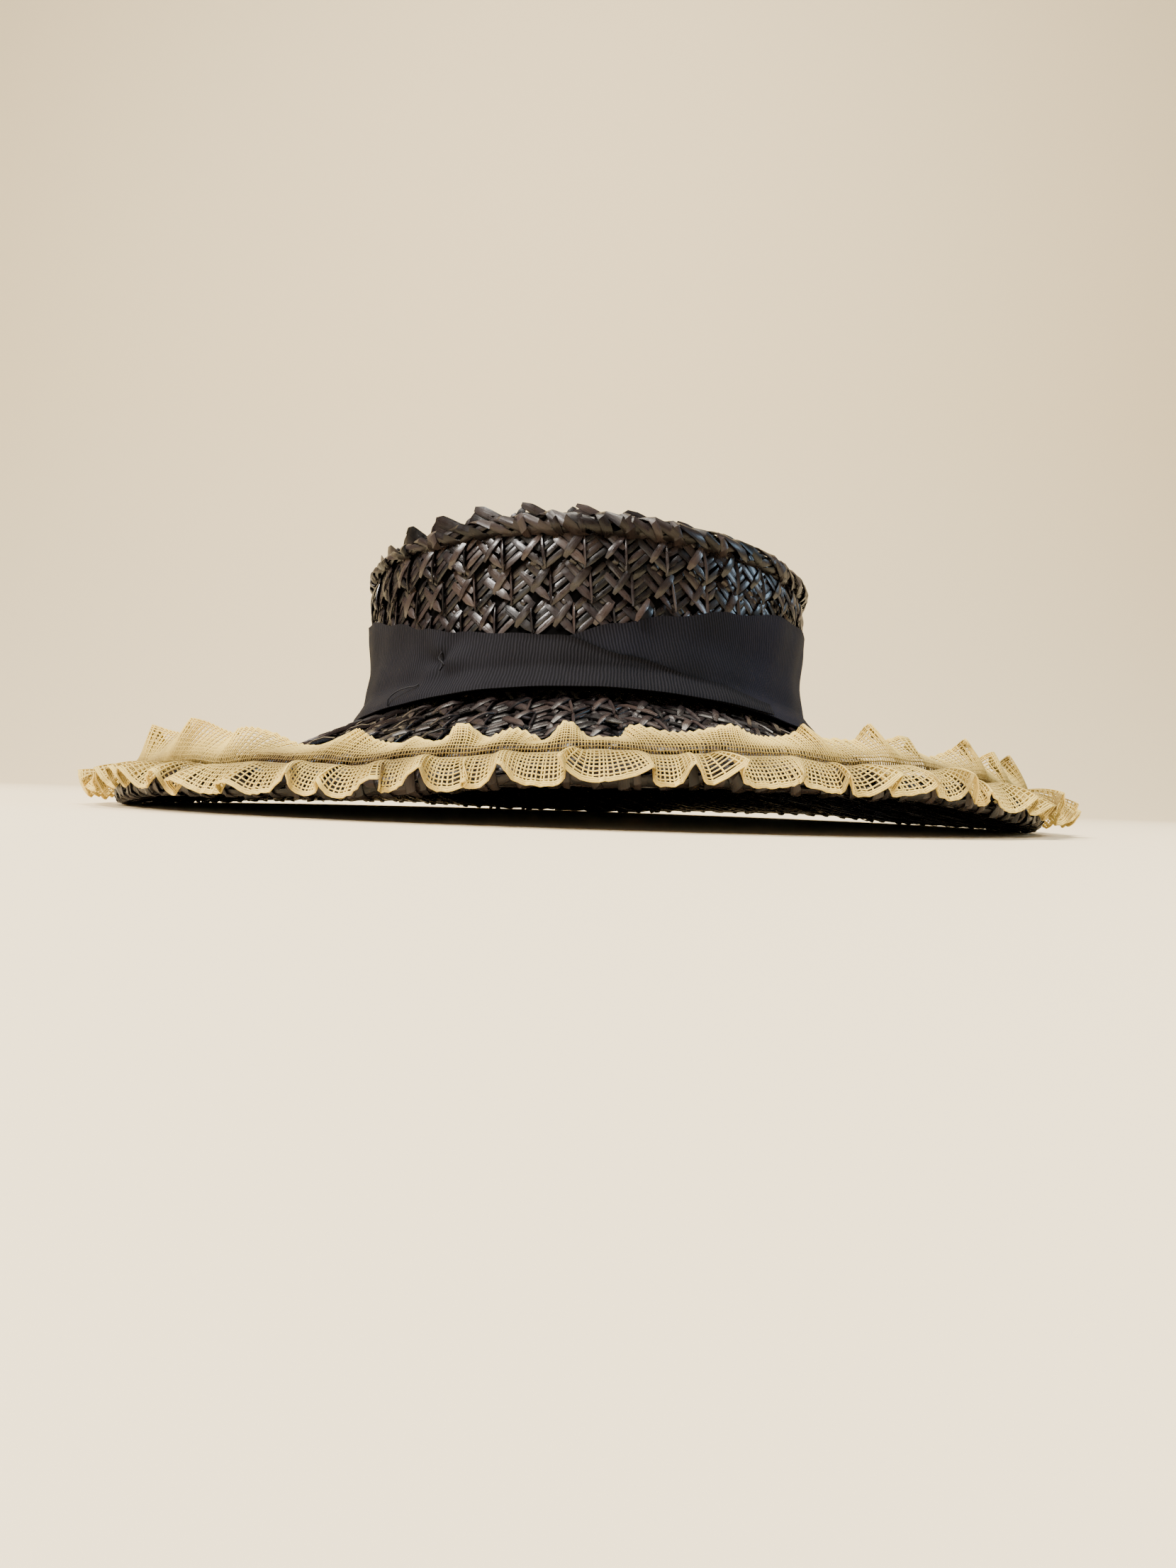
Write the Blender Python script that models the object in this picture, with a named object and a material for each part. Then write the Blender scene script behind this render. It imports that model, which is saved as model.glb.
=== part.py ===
"""A small plaited straw boater with a grosgrain ribbon and a net ruffle, at its real size.

The hat rests on its brim, crown up. Metres, +Z up, with its front on the -Y side.
Azimuths are in degrees from the front of the hat, growing towards +X.
"""

import math
from collections import namedtuple

import bmesh
import bpy
from mathutils import Matrix, Vector

MM = 0.001

# Straw brim, in millimetres
BRIM_RADIUS = 130.5
BRIM_INNER_RADIUS = 65.5
BRIM_THICKNESS = 2.0
BRIM_CREST = 23.8  # mean height of its underside at the crown, above the table
BRIM_CURVE = 1.3  # over 1, the brim is steeper beside the crown than at its edge
BRIM_ROUNDS = 6  # rounds of plait from the crown to the edge
PLAIT_STEP = 0.9  # each round stands this proud of the next one
REST_WIDTH = 2.6  # flat strip under the edge that meets the table
BRIM_SLICES = 54

# The brim's edge is arched up at the front, and meets the table at both sides and the back
EdgeRow = namedtuple("EdgeRow", "azimuth rise")
EDGE_ROWS = (
    EdgeRow(azimuth=0, rise=8.3),
    EdgeRow(azimuth=12, rise=8.8),
    EdgeRow(azimuth=30, rise=8.0),
    EdgeRow(azimuth=60, rise=3.0),
    EdgeRow(azimuth=84, rise=0.0),
    EdgeRow(azimuth=114, rise=0.0),
    EdgeRow(azimuth=138, rise=1.9),
    EdgeRow(azimuth=156, rise=1.5),
    EdgeRow(azimuth=174, rise=0.0),
    EdgeRow(azimuth=192, rise=0.0),
    EdgeRow(azimuth=216, rise=1.6),
    EdgeRow(azimuth=234, rise=1.1),
    EdgeRow(azimuth=258, rise=0.0),
    EdgeRow(azimuth=282, rise=0.0),
    EdgeRow(azimuth=316, rise=3.7),
    EdgeRow(azimuth=337, rise=4.3),
    EdgeRow(azimuth=360, rise=8.3),
)

# Crown, in millimetres. It leans back a little, and its front and back are sprung up
CROWN_LEAN = 2.5  # degrees
CROWN_SADDLE = 3.0  # front and back are raised this much, and the sides lowered as much
SADDLE_RADIUS = 66.0
CROWN_HEIGHT = 43.2
CROWN_THICKNESS = 2.0
GAP = 0.3  # between pieces that are sewn to each other
TEETH = 38  # points of the plait round the crown

# The middle of the crown wall, waisted where the ribbon draws it in, and the ribbon's inside
WallRow = namedtuple("WallRow", "height radius ribbon")
WALL_ROWS = (
    WallRow(height=0, radius=66.4, ribbon=68.5),
    WallRow(height=7, radius=63.2, ribbon=65.1),
    WallRow(height=17, radius=61.6, ribbon=63.8),
    WallRow(height=27, radius=61.7, ribbon=64.5),
    WallRow(height=37, radius=63.0, ribbon=65.2),
    WallRow(height=45, radius=63.4, ribbon=65.2),
)

# The wrapped strand that edges the top of the wall, outside the plait
STRAND_FOOT = 39.8
STRAND_PROUD = 2.6  # from the wall's middle

# Rows of plait down the crown wall: where each row's points end, how far they stand out,
# how long the points are, and how far they are turned from the row above, in points
PlaitRow = namedtuple("PlaitRow", "points_at proud point_depth turn")
PLAIT_ROWS = (
    PlaitRow(points_at=34.6, proud=2.8, point_depth=6.0, turn=0.0),
    PlaitRow(points_at=26.2, proud=2.3, point_depth=6.0, turn=0.2),
    PlaitRow(points_at=17.5, proud=1.7, point_depth=5.0, turn=-0.2),
)
TUCKED = 1.1  # where a row comes out from under the points above, from the wall's middle

# Tip of the crown: its outer round stands up in points, tallest on the left side
TIP_THICKNESS = 2.0
TIP_DOME = 2.2
TIP_POINTS_INSET = 2.4  # the points stand this far inside the wall's outer face
TIP_POINT_LIFT = 1.4
TIP_POINT_EXTRA_LIFT = 3.4
TIP_TALLEST_AZIMUTH = -60

# Ribbon, in millimetres above the crown's base. It starts under its own end at the front,
# runs once round the crown by the right side and the back, and ends over its own start
RibbonRow = namedtuple("RibbonRow", "azimuth top bottom")
RIBBON_ROWS = (
    RibbonRow(azimuth=-18, top=10.0, bottom=2.0),
    RibbonRow(azimuth=-6, top=14.0, bottom=1.5),
    RibbonRow(azimuth=7, top=18.2, bottom=1.2),
    RibbonRow(azimuth=19, top=21.5, bottom=1.0),
    RibbonRow(azimuth=36, top=25.9, bottom=0.7),
    RibbonRow(azimuth=55, top=30.2, bottom=0.3),
    RibbonRow(azimuth=75, top=31.4, bottom=0.2),
    RibbonRow(azimuth=180, top=31.4, bottom=0.2),
    RibbonRow(azimuth=272, top=31.0, bottom=0.2),
    RibbonRow(azimuth=293, top=28.2, bottom=0.2),
    RibbonRow(azimuth=309, top=23.7, bottom=0.0),
    RibbonRow(azimuth=320, top=19.8, bottom=0.0),
    RibbonRow(azimuth=330, top=17.2, bottom=0.2),
    RibbonRow(azimuth=342, top=15.3, bottom=0.4),
    RibbonRow(azimuth=354, top=14.2, bottom=0.5),
    RibbonRow(azimuth=369, top=9.6, bottom=0.6),
    RibbonRow(azimuth=386, top=6.2, bottom=0.6),
    RibbonRow(azimuth=404, top=3.4, bottom=0.6),
)
RIBBON_THICKNESS = 1.0
RIBBON_OVERLAP_STEP = 1.4  # the end lies this far outside the start
RIBBON_STEP_FROM, RIBBON_STEP_TO = 280, 335  # azimuths between which it climbs over its start
RIBBON_SLICES = 64
RIBBON_SHARES = (1.0, 0.5, 0.22, 0.0)  # heights of its section, as shares of its width

# Net ruffle: one strip gathered along its middle and sewn down near the brim's edge
RUFFLE_SEAM_RADIUS = 127.2
RUFFLE_SEAM_LIFT = 1.2  # middle of the gathered strip above the plait, beyond the sewing gap
RUFFLE_HALF_WIDTH = 12.5
RUFFLE_THICKNESS = 1.4
RUFFLE_WAVES = 68
RUFFLE_WAVE_HEIGHT = 3.0
RUFFLE_UNEVEN = 0.28  # share by which its waves differ in height
SLICES_PER_WAVE = 5
RuffleRow = namedtuple("RuffleRow", "azimuth upper_angle lower_angle")
RUFFLE_ROWS = (  # angles of the two frills above the outward direction, in degrees
    RuffleRow(azimuth=0, upper_angle=138, lower_angle=-12),
    RuffleRow(azimuth=20, upper_angle=126, lower_angle=-14),
    RuffleRow(azimuth=36, upper_angle=104, lower_angle=-12),
    RuffleRow(azimuth=60, upper_angle=100, lower_angle=8),
    RuffleRow(azimuth=90, upper_angle=92, lower_angle=34),
    RuffleRow(azimuth=120, upper_angle=100, lower_angle=26),
    RuffleRow(azimuth=160, upper_angle=112, lower_angle=12),
    RuffleRow(azimuth=200, upper_angle=110, lower_angle=8),
    RuffleRow(azimuth=240, upper_angle=98, lower_angle=6),
    RuffleRow(azimuth=275, upper_angle=94, lower_angle=4),
    RuffleRow(azimuth=300, upper_angle=108, lower_angle=-4),
    RuffleRow(azimuth=330, upper_angle=130, lower_angle=-12),
    RuffleRow(azimuth=360, upper_angle=138, lower_angle=-12),
)
RUFFLE_OVER_EDGE = 0.32  # share of the lower frill that lies flat, out over the brim's edge
RUFFLE_FLAT_WAVE = 0.2  # share of its wave there
RUFFLE_LINES = ("upper_edge", "seam", "over_brim_edge", "lower_edge")

STRAW_COLOUR = (0.045, 0.031, 0.024, 1)
RIBBON_COLOUR = (0.018, 0.017, 0.028, 1)
NET_COLOUR = (0.68, 0.56, 0.32, 1)


def clear_scene():
    for old in list(bpy.data.objects):
        bpy.data.objects.remove(old)


def between(rows, key, column, value):
    """The column of a table at this value of its key, eased from row to row."""
    for low, high in zip(rows, rows[1:]):
        start, end = getattr(low, key), getattr(high, key)
        if start <= value <= end:
            share = (value - start) / (end - start)
            eased = share * share * (3 - 2 * share)
            return getattr(low, column) * (1 - eased) + getattr(high, column) * eased
    return getattr(rows[0] if value < getattr(rows[0], key) else rows[-1], column)


def at(azimuth, radius, height):
    """The point at this azimuth, radius and height, in metres."""
    turn = math.radians(azimuth)
    return Vector((radius * math.sin(turn), -radius * math.cos(turn), height)) * MM


def saddle(azimuth, radius):
    return CROWN_SADDLE * (radius / SADDLE_RADIUS) ** 2 * math.cos(2 * math.radians(azimuth))


def on_crown(azimuth, radius, height):
    """The same for the crown, whose base leans back on the brim."""
    base = BRIM_CREST + BRIM_THICKNESS + GAP
    lean = Matrix.Rotation(math.radians(-CROWN_LEAN), 4, "X")
    return lean @ at(azimuth, radius, height + saddle(azimuth, radius)) + Vector((0, 0, base * MM))


def edge_rise(azimuth):
    """How far the brim's edge is above the table. It is exactly 0 where the hat rests."""
    return between(EDGE_ROWS, "azimuth", "rise", azimuth % 360)


def brim_underside(azimuth, radius):
    lean = math.tan(math.radians(CROWN_LEAN)) * radius * math.cos(math.radians(azimuth))
    crest = BRIM_CREST + lean + saddle(azimuth, SADDLE_RADIUS)
    out = (radius - BRIM_INNER_RADIUS) / (BRIM_RADIUS - BRIM_INNER_RADIUS)
    out = min(1.0, max(0.0, out))
    return crest * (1 - out) ** BRIM_CURVE + edge_rise(azimuth) * out * out


def tooth(share, count, turn=0.0):
    """From 0 in the valleys between points to 1 at the end of a point."""
    beat = (share * count + turn) % 1.0
    return 1 - abs(2 * beat - 1)


def material(name, colour, roughness):
    made = bpy.data.materials.new(name)
    made.use_nodes = True
    shader = made.node_tree.nodes["Principled BSDF"]
    shader.inputs["Base Color"].default_value = colour
    shader.inputs["Roughness"].default_value = roughness
    shader.inputs["Metallic"].default_value = 0.0
    return made


def swept(name, stations, slices, place, look, closed=True):
    """A solid with a closed section of so many stations, spun round and then put in its shape.

    place(station, share) gives each point, with share running from 0 to 1 along the sweep.
    """
    mesh = bmesh.new()
    station_of = mesh.verts.layers.int.new("station")
    section = []
    for station in range(stations):
        turn = 2 * math.pi * station / stations
        point = mesh.verts.new((2 + math.cos(turn), 0, math.sin(turn)))
        point[station_of] = station
        section.append(point)
    edges = [mesh.edges.new((a, b)) for a, b in zip(section, section[1:] + section[:1])]
    sweep = 2 * math.pi if closed else 1.9 * math.pi
    bmesh.ops.spin(
        mesh, geom=section + edges, cent=(0, 0, 0), axis=(0, 0, 1),
        angle=sweep, steps=slices, use_merge=closed,
    )
    for point in mesh.verts:
        turn = math.atan2(point.co.y, point.co.x)
        share = (turn + 2 * math.pi if turn < -1e-4 else turn) / sweep
        point.co = place(point[station_of], share)
    bmesh.ops.remove_doubles(mesh, verts=mesh.verts, dist=0.01 * MM)
    if not closed:
        ends = [edge for edge in mesh.edges if edge.is_boundary]
        bmesh.ops.holes_fill(mesh, edges=ends, sides=0)
    bmesh.ops.recalc_face_normals(mesh, faces=mesh.faces)
    data = bpy.data.meshes.new(name)
    mesh.to_mesh(data)
    mesh.free()
    made = bpy.data.objects.new(name, data)
    bpy.context.scene.collection.objects.link(made)
    data.materials.append(look)
    data.shade_smooth()
    data.set_sharp_from_angle(angle=math.radians(30))
    return made


def make_brim(look):
    """The sloping brim, with a step at the outer side of each round of plait."""
    width = (BRIM_RADIUS - BRIM_INNER_RADIUS) / BRIM_ROUNDS
    top = []
    for number in range(BRIM_ROUNDS):
        start = BRIM_INNER_RADIUS + number * width
        top += [(start, 0.1), (start + width - 1.0, PLAIT_STEP)]
    side = [(BRIM_RADIUS, 0.0 - BRIM_THICKNESS / 2)]
    rest = [BRIM_RADIUS - 0.5, BRIM_RADIUS - REST_WIDTH]
    under = [BRIM_INNER_RADIUS + number * width for number in (4, 2, 1, 0)]

    def place(station, share):
        azimuth = 360 * share
        if station < len(top) + len(side):
            radius, step = (top + side)[station]
            height = brim_underside(azimuth, radius) + BRIM_THICKNESS + step
        else:
            radius = (rest + under)[station - len(top) - len(side)]
            height = edge_rise(azimuth) if radius in rest else brim_underside(azimuth, radius)
        return at(azimuth, radius, height)

    stations = len(top) + len(side) + len(rest) + len(under)
    return swept("brim", stations, BRIM_SLICES, place, look)


def make_crown_wall(look):
    """The crown's wall, with three rows of plait whose points overlap like shingles."""
    half = CROWN_THICKNESS / 2
    outside = [
        (CROWN_HEIGHT, STRAND_PROUD - 0.5, 0.0, 0.0),
        (STRAND_FOOT, STRAND_PROUD, 0.0, 0.0),
        (STRAND_FOOT - GAP, TUCKED, 0.0, 0.0),
    ]
    for row in PLAIT_ROWS:
        outside += [
            (row.points_at, row.proud, row.point_depth, row.turn),
            (row.points_at - GAP, TUCKED, row.point_depth, row.turn),
        ]
    outside += [(7.0, half, 0.0, 0.0), (-0.6, half, 0.0, 0.0)]
    inside = [(height, -half, 0.0, 0.0) for height in (0.0, 7.0, 18.0, CROWN_HEIGHT)]

    def place(station, share):
        height, offset, depth, turn = (outside + inside)[station]
        azimuth = 360 * share + turn * 360 / TEETH
        height += depth * (0.5 - tooth(share, TEETH))
        return on_crown(azimuth, between(WALL_ROWS, "height", "radius", height) + offset, height)

    return swept("crown_wall", len(outside) + len(inside), 2 * TEETH, place, look)


def make_crown_tip(look):
    """The flat top of the crown, which is domed a little and ends in raised points."""
    rim = WALL_ROWS[-1].radius + CROWN_THICKNESS / 2
    radii = (0.0, 0.5 * rim, rim - 4.0)

    def dome(radius):
        return TIP_DOME * (1 - (radius / rim) ** 2)

    def place(station, share):
        azimuth = 360 * share
        if station < len(radii):
            radius = radii[station]
            height = TIP_THICKNESS + dome(radius)
        elif station == len(radii):
            away = math.cos(math.radians(azimuth - TIP_TALLEST_AZIMUTH))
            lift = TIP_POINT_LIFT + TIP_POINT_EXTRA_LIFT * max(0.0, away)
            radius = rim - TIP_POINTS_INSET
            height = TIP_THICKNESS + lift * tooth(share, TEETH)
        elif station == len(radii) + 1:
            radius = rim + STRAND_PROUD / 4
            height = TIP_THICKNESS / 3
        else:
            radius = radii[2 * len(radii) + 1 - station]
            height = 0.0 if radius > 0.9 * rim else dome(radius)
        return on_crown(azimuth, radius, CROWN_HEIGHT + GAP + height)

    return swept("crown_tip", 2 * len(radii) + 2, 2 * TEETH, place, look)


def make_ribbon(look):
    """The ribbon, one strip whose end crosses over its start at the front of the crown."""
    first, last = RIBBON_ROWS[0].azimuth, RIBBON_ROWS[-1].azimuth
    count = len(RIBBON_SHARES)

    def place(station, share):
        azimuth = first + (last - first) * share
        outer = station < count
        along = RIBBON_SHARES[station if outer else 2 * count - 1 - station]
        top = between(RIBBON_ROWS, "azimuth", "top", azimuth)
        bottom = between(RIBBON_ROWS, "azimuth", "bottom", azimuth)
        height = bottom + (top - bottom) * along
        climb = (azimuth - RIBBON_STEP_FROM) / (RIBBON_STEP_TO - RIBBON_STEP_FROM)
        radius = between(WALL_ROWS, "height", "ribbon", height) + RIBBON_THICKNESS * outer
        radius += RIBBON_OVERLAP_STEP * min(1.0, max(0.0, climb))
        return on_crown(azimuth, radius, height)

    return swept("ribbon", 2 * count, RIBBON_SLICES, place, look, closed=False)


def make_ruffle(look):
    """The net strip. Its two frills open like a book, and each runs in soft waves."""
    count = len(RUFFLE_LINES)

    def waving(turn, lag):
        """The height of a frill's wave at its edge, each frill a little out of step."""
        uneven = 1 + RUFFLE_UNEVEN * (math.sin(7 * turn + lag) + math.sin(11 * turn - lag)) / 2
        drift = lag + 0.9 * math.sin(5 * turn + lag)
        return RUFFLE_WAVE_HEIGHT * uneven * math.sin(RUFFLE_WAVES * turn + drift)

    def place(station, share):
        turn = 2 * math.pi * share
        azimuth = 360 * share
        front = station < count
        line = RUFFLE_LINES[station if front else 2 * count - 1 - station]
        upper = math.radians(between(RUFFLE_ROWS, "azimuth", "upper_angle", azimuth))
        lower = math.radians(between(RUFFLE_ROWS, "azimuth", "lower_angle", azimuth))
        facing_out = Vector((math.sin(upper), -math.cos(upper)))
        facing_up = Vector((-math.sin(lower), math.cos(lower)))
        top = brim_underside(azimuth, RUFFLE_SEAM_RADIUS) + BRIM_THICKNESS + PLAIT_STEP
        point = Vector((RUFFLE_SEAM_RADIUS, top + GAP + RUFFLE_SEAM_LIFT))
        if line == "upper_edge":
            facing = facing_out
            point += Vector((math.cos(upper), math.sin(upper))) * RUFFLE_HALF_WIDTH
            point += facing * waving(turn, 0.0)
        elif line == "seam":
            facing = (facing_up + facing_out).normalized()
        else:
            facing = Vector((0, 1))
            point += Vector((RUFFLE_HALF_WIDTH * RUFFLE_OVER_EDGE, 0))
            wave = waving(turn, 1.9)
            if line == "lower_edge":
                facing = facing_up
                drop = Vector((math.cos(lower), math.sin(lower)))
                point += drop * RUFFLE_HALF_WIDTH * (1 - RUFFLE_OVER_EDGE) + facing * wave
            else:
                point += facing * wave * RUFFLE_FLAT_WAVE
        point += facing * RUFFLE_THICKNESS * (0.5 if front else -0.5)
        return at(azimuth, point.x, point.y)

    return swept("net_ruffle", 2 * count, RUFFLE_WAVES * SLICES_PER_WAVE, place, look)


def centre_on_box(pieces):
    """Moves the finished hat so that its box is centred over the origin, on the table."""
    corners = [point.co for piece in pieces for point in piece.data.vertices]
    low = Vector(min(corner[axis] for corner in corners) for axis in range(3))
    high = Vector(max(corner[axis] for corner in corners) for axis in range(3))
    middle = (low + high) / 2
    for piece in pieces:
        piece.data.transform(Matrix.Translation((-middle.x, -middle.y, -low.z)))


def main():
    clear_scene()
    straw = material("plaited_straw", STRAW_COLOUR, 0.35)
    grosgrain = material("grosgrain", RIBBON_COLOUR, 0.8)
    net = material("cotton_net", NET_COLOUR, 0.9)
    pieces = [
        make_brim(straw),
        make_crown_wall(straw),
        make_crown_tip(straw),
        make_ribbon(grosgrain),
        make_ruffle(net),
    ]
    centre_on_box(pieces)


main()
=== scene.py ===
# %% [markdown]
# # A plaited straw boater with a ribbon and a net ruffle
#
# The solids of the hat come in first, as a fixed frame. Five of them are there: the brim, the
# wall and the tip of the crown, the ribbon and the ruffle. They give every piece its place, and
# each is then replaced by the real thing: thousands of flat straw splints, a ribbed ribbon, and a
# net made of threads. All lengths in the tables below are in millimetres.

# %% Load the solids
import math
import random
from collections import namedtuple

import bpy
import numpy as np
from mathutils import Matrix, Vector


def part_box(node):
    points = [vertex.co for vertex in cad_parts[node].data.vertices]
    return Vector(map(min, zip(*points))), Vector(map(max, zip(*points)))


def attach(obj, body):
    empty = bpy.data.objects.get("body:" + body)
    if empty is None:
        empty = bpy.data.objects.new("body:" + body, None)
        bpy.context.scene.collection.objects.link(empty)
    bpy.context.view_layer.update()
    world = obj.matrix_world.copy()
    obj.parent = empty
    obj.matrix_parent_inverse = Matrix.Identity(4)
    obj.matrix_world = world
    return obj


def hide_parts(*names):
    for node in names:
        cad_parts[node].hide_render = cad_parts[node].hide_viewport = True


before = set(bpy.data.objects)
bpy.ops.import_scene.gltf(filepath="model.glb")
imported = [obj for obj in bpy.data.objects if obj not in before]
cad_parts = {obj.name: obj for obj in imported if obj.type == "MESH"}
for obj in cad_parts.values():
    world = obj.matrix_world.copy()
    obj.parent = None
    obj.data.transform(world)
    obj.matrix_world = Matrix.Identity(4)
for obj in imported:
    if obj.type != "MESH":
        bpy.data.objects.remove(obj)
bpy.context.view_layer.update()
MM = 0.001
print("solids:", sorted(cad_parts))

# %% [markdown]
# ## The camera
#
# The hat was looked at from very near and almost from the level of its brim, with a wide lens.
# That nearness matters more than anything else in the picture: it makes the front of the brim
# look much larger than its back. The camera therefore stands a third of a metre away, just above
# the floor, and is turned a little about its own axis, so the hat dips towards the right.

# %% Camera
CAMERA_PLACE = Vector((1.9, -345.0, 6.5)) * MM
CAMERA_PITCH = math.radians(0.6)
CAMERA_ROLL = math.radians(-1.9)
LENS = 25.99

camera_data = bpy.data.cameras.new("camera")
camera_data.lens = LENS
camera_data.sensor_width = 36
camera_data.clip_start = 0.001
camera_data.clip_end = 50
camera = bpy.data.objects.new("camera", camera_data)
bpy.context.scene.collection.objects.link(camera)
camera.location = CAMERA_PLACE
camera.rotation_mode = "XYZ"
camera.rotation_euler = (math.radians(90) + CAMERA_PITCH, CAMERA_ROLL, 0)
bpy.context.scene.camera = camera
print("camera", round(CAMERA_PLACE.length, 3), "m from the hat's foot")

# %% [markdown]
# ## Floor and backdrop
#
# A seamless sheet stands in for a studio table: a floor that curves up into a wall. A floor and a
# separate wall would meet in a hard line behind the hat. So it is one plane whose far edge is
# extruded upwards, and a wide bevel rounds the bend.

# %% Floor and backdrop
def select_only(piece):
    bpy.ops.object.select_all(action="DESELECT")
    piece.select_set(True)
    bpy.context.view_layer.objects.active = piece


def new_material(name):
    """A material, its node tree and its shader."""
    made = bpy.data.materials.new(name)
    made.use_nodes = True
    return made, made.node_tree, made.node_tree.nodes["Principled BSDF"]


FLOOR_HALF, WALL_AT, WALL_HEIGHT = 3.0, 1.6, 3.0
bpy.ops.object.select_all(action="DESELECT")
bpy.ops.mesh.primitive_plane_add(size=2 * FLOOR_HALF, location=(0, WALL_AT - FLOOR_HALF, 0))
backdrop = bpy.context.object
backdrop.name = "backdrop"
bpy.ops.object.mode_set(mode="EDIT")
bpy.ops.mesh.select_all(action="DESELECT")
bpy.ops.object.mode_set(mode="OBJECT")
for edge in backdrop.data.edges:
    ends = [backdrop.data.vertices[number].co.y for number in edge.vertices]
    edge.select = min(ends) > 0.9 * FLOOR_HALF
bpy.ops.object.mode_set(mode="EDIT")
bpy.ops.mesh.select_mode(type="EDGE")
bpy.ops.mesh.extrude_region_move(TRANSFORM_OT_translate={"value": (0, 0, WALL_HEIGHT)})
bpy.ops.object.mode_set(mode="OBJECT")
bend = backdrop.modifiers.new("bend", "BEVEL")
bend.width = 0.7
bend.segments = 24
bend.limit_method = "ANGLE"
bpy.ops.object.modifier_apply(modifier="bend")
bpy.ops.object.transform_apply(location=True, rotation=True, scale=True)
backdrop.data.shade_smooth()
print("backdrop has", len(backdrop.data.polygons), "faces")
paper, _, shader = new_material("backdrop_paper")
shader.inputs["Base Color"].default_value = (0.93, 0.79, 0.53, 1)
shader.inputs["Roughness"].default_value = 0.95
backdrop.data.materials.append(paper)

# %% [markdown]
# ## Lights
#
# Straw that is lacquered nearly black shows only by what it reflects. One soft lamp in front
# would turn it flat and grey. So a warm key light stands high at the left, a small cool one at
# the right draws bluish glints along the splints there, and a weak one from the front keeps the
# ribbon readable. A very weak one, as low as the brim, is aimed at its edge under the net. The last
# one lights the backdrop. All are square lamps aimed at the hat.

# %% Lights
Light = namedtuple("Light", "name place size power colour")
LIGHTS = (
    Light("window", (1.05, 0.0, 0.55), 0.35, 6.5, (0.55, 0.78, 1.0)),
    Light("key", (-0.9, -0.75, 1.15), 0.45, 56.0, (1.0, 0.95, 0.89)),
    Light("front", (0.25, -0.9, 1.7), 0.35, 8.0, (1.0, 0.96, 0.92)),
    Light("low", (-0.25, -0.95, 0.07), 0.3, 1.2, (1.0, 0.95, 0.9)),
    Light("wall", (0.0, 0.2, 2.2), 1.2, 70.0, (1.0, 0.93, 0.80)),
)
for light in LIGHTS:
    data = bpy.data.lights.new(light.name, "AREA")
    data.energy = light.power
    data.size = light.size
    data.color = light.colour
    lamp = bpy.data.objects.new(light.name, data)
    bpy.context.scene.collection.objects.link(lamp)
    lamp.location = light.place
    lamp.rotation_mode = "QUATERNION"
    lamp.rotation_quaternion = (Vector((0, 0, 0.03)) - lamp.location).to_track_quat("-Z", "Y")

SKY_COLOUR, SKY_STRENGTH = (1.0, 0.94, 0.84, 1), 0.14
world = bpy.data.worlds.new("studio")
world.use_nodes = True
sky = world.node_tree.nodes["Background"]
sky.inputs["Color"].default_value = SKY_COLOUR
sky.inputs["Strength"].default_value = SKY_STRENGTH
bpy.context.scene.world = world
print(len(LIGHTS), "area lights and an even sky")

# %% [markdown]
# ## The hat's shape in numbers
#
# The solids were made from a few tables, and the visual pieces repeat them, so that straw, ribbon
# and net land exactly where the solids are. Azimuths run from the front of the hat, growing
# towards the right. Every table is read with an eased step between its rows, which keeps curves
# soft. All helpers work on whole arrays, because the hat has some ten thousand splints.

# %% Tables
BRIM_RADIUS, BRIM_INNER_RADIUS = 130.5, 65.5
BRIM_THICKNESS, BRIM_CREST, BRIM_CURVE = 2.0, 23.8, 1.3
EDGE_RISE = (
    (0, 8.3), (12, 8.8), (30, 8.0), (60, 3.0), (84, 0.0), (114, 0.0), (138, 1.9), (156, 1.5),
    (174, 0.0), (192, 0.0), (216, 1.6), (234, 1.1), (258, 0.0), (282, 0.0), (316, 3.7),
    (337, 4.3), (360, 8.3),
)
CROWN_LEAN, CROWN_SADDLE, SADDLE_RADIUS = 2.5, 3.0, 66.0
CROWN_HEIGHT, GAP = 43.2, 0.3
WALL_RADIUS = ((0, 66.4), (7, 63.2), (17, 61.6), (27, 61.7), (37, 63.0), (45, 63.4))
RIBBON_RADIUS = ((0, 68.5), (7, 65.1), (17, 63.8), (27, 64.5), (37, 65.2), (45, 65.2))


def eased(rows, value):
    """The second column of a table at these values of its first, eased from row to row."""
    keys, column = np.array(rows, float).T
    value = np.clip(value, keys[0], keys[-1])
    row = np.clip(np.searchsorted(keys, value, side="right") - 1, 0, len(keys) - 2)
    share = (value - keys[row]) / (keys[row + 1] - keys[row])
    share = share * share * (3 - 2 * share)
    return column[row] * (1 - share) + column[row + 1] * share


def around(azimuth, radius, height):
    turn = np.radians(azimuth)
    return np.stack([radius * np.sin(turn), -radius * np.cos(turn), height + 0 * turn], axis=-1)


def saddle(azimuth, radius):
    return CROWN_SADDLE * (radius / SADDLE_RADIUS) ** 2 * np.cos(2 * np.radians(azimuth))


def on_crown(azimuth, radius, height):
    """Points of the crown, whose base leans back on the brim."""
    point = around(azimuth, radius, height + saddle(azimuth, radius))
    lean = math.radians(CROWN_LEAN)
    turn = np.array([[1, 0, 0], [0, math.cos(lean), math.sin(lean)],
                     [0, -math.sin(lean), math.cos(lean)]])
    return point @ turn.T + np.array([0, 0, BRIM_CREST + BRIM_THICKNESS + GAP])


def brim_underside(azimuth, radius):
    lean = math.tan(math.radians(CROWN_LEAN)) * radius * np.cos(np.radians(azimuth))
    crest = BRIM_CREST + lean + saddle(azimuth, SADDLE_RADIUS)
    out = np.clip((radius - BRIM_INNER_RADIUS) / (BRIM_RADIUS - BRIM_INNER_RADIUS), 0, 1)
    rise = eased(EDGE_RISE, np.mod(azimuth, 360))
    return crest * (1 - out) ** BRIM_CURVE + rise * out * out


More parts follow.
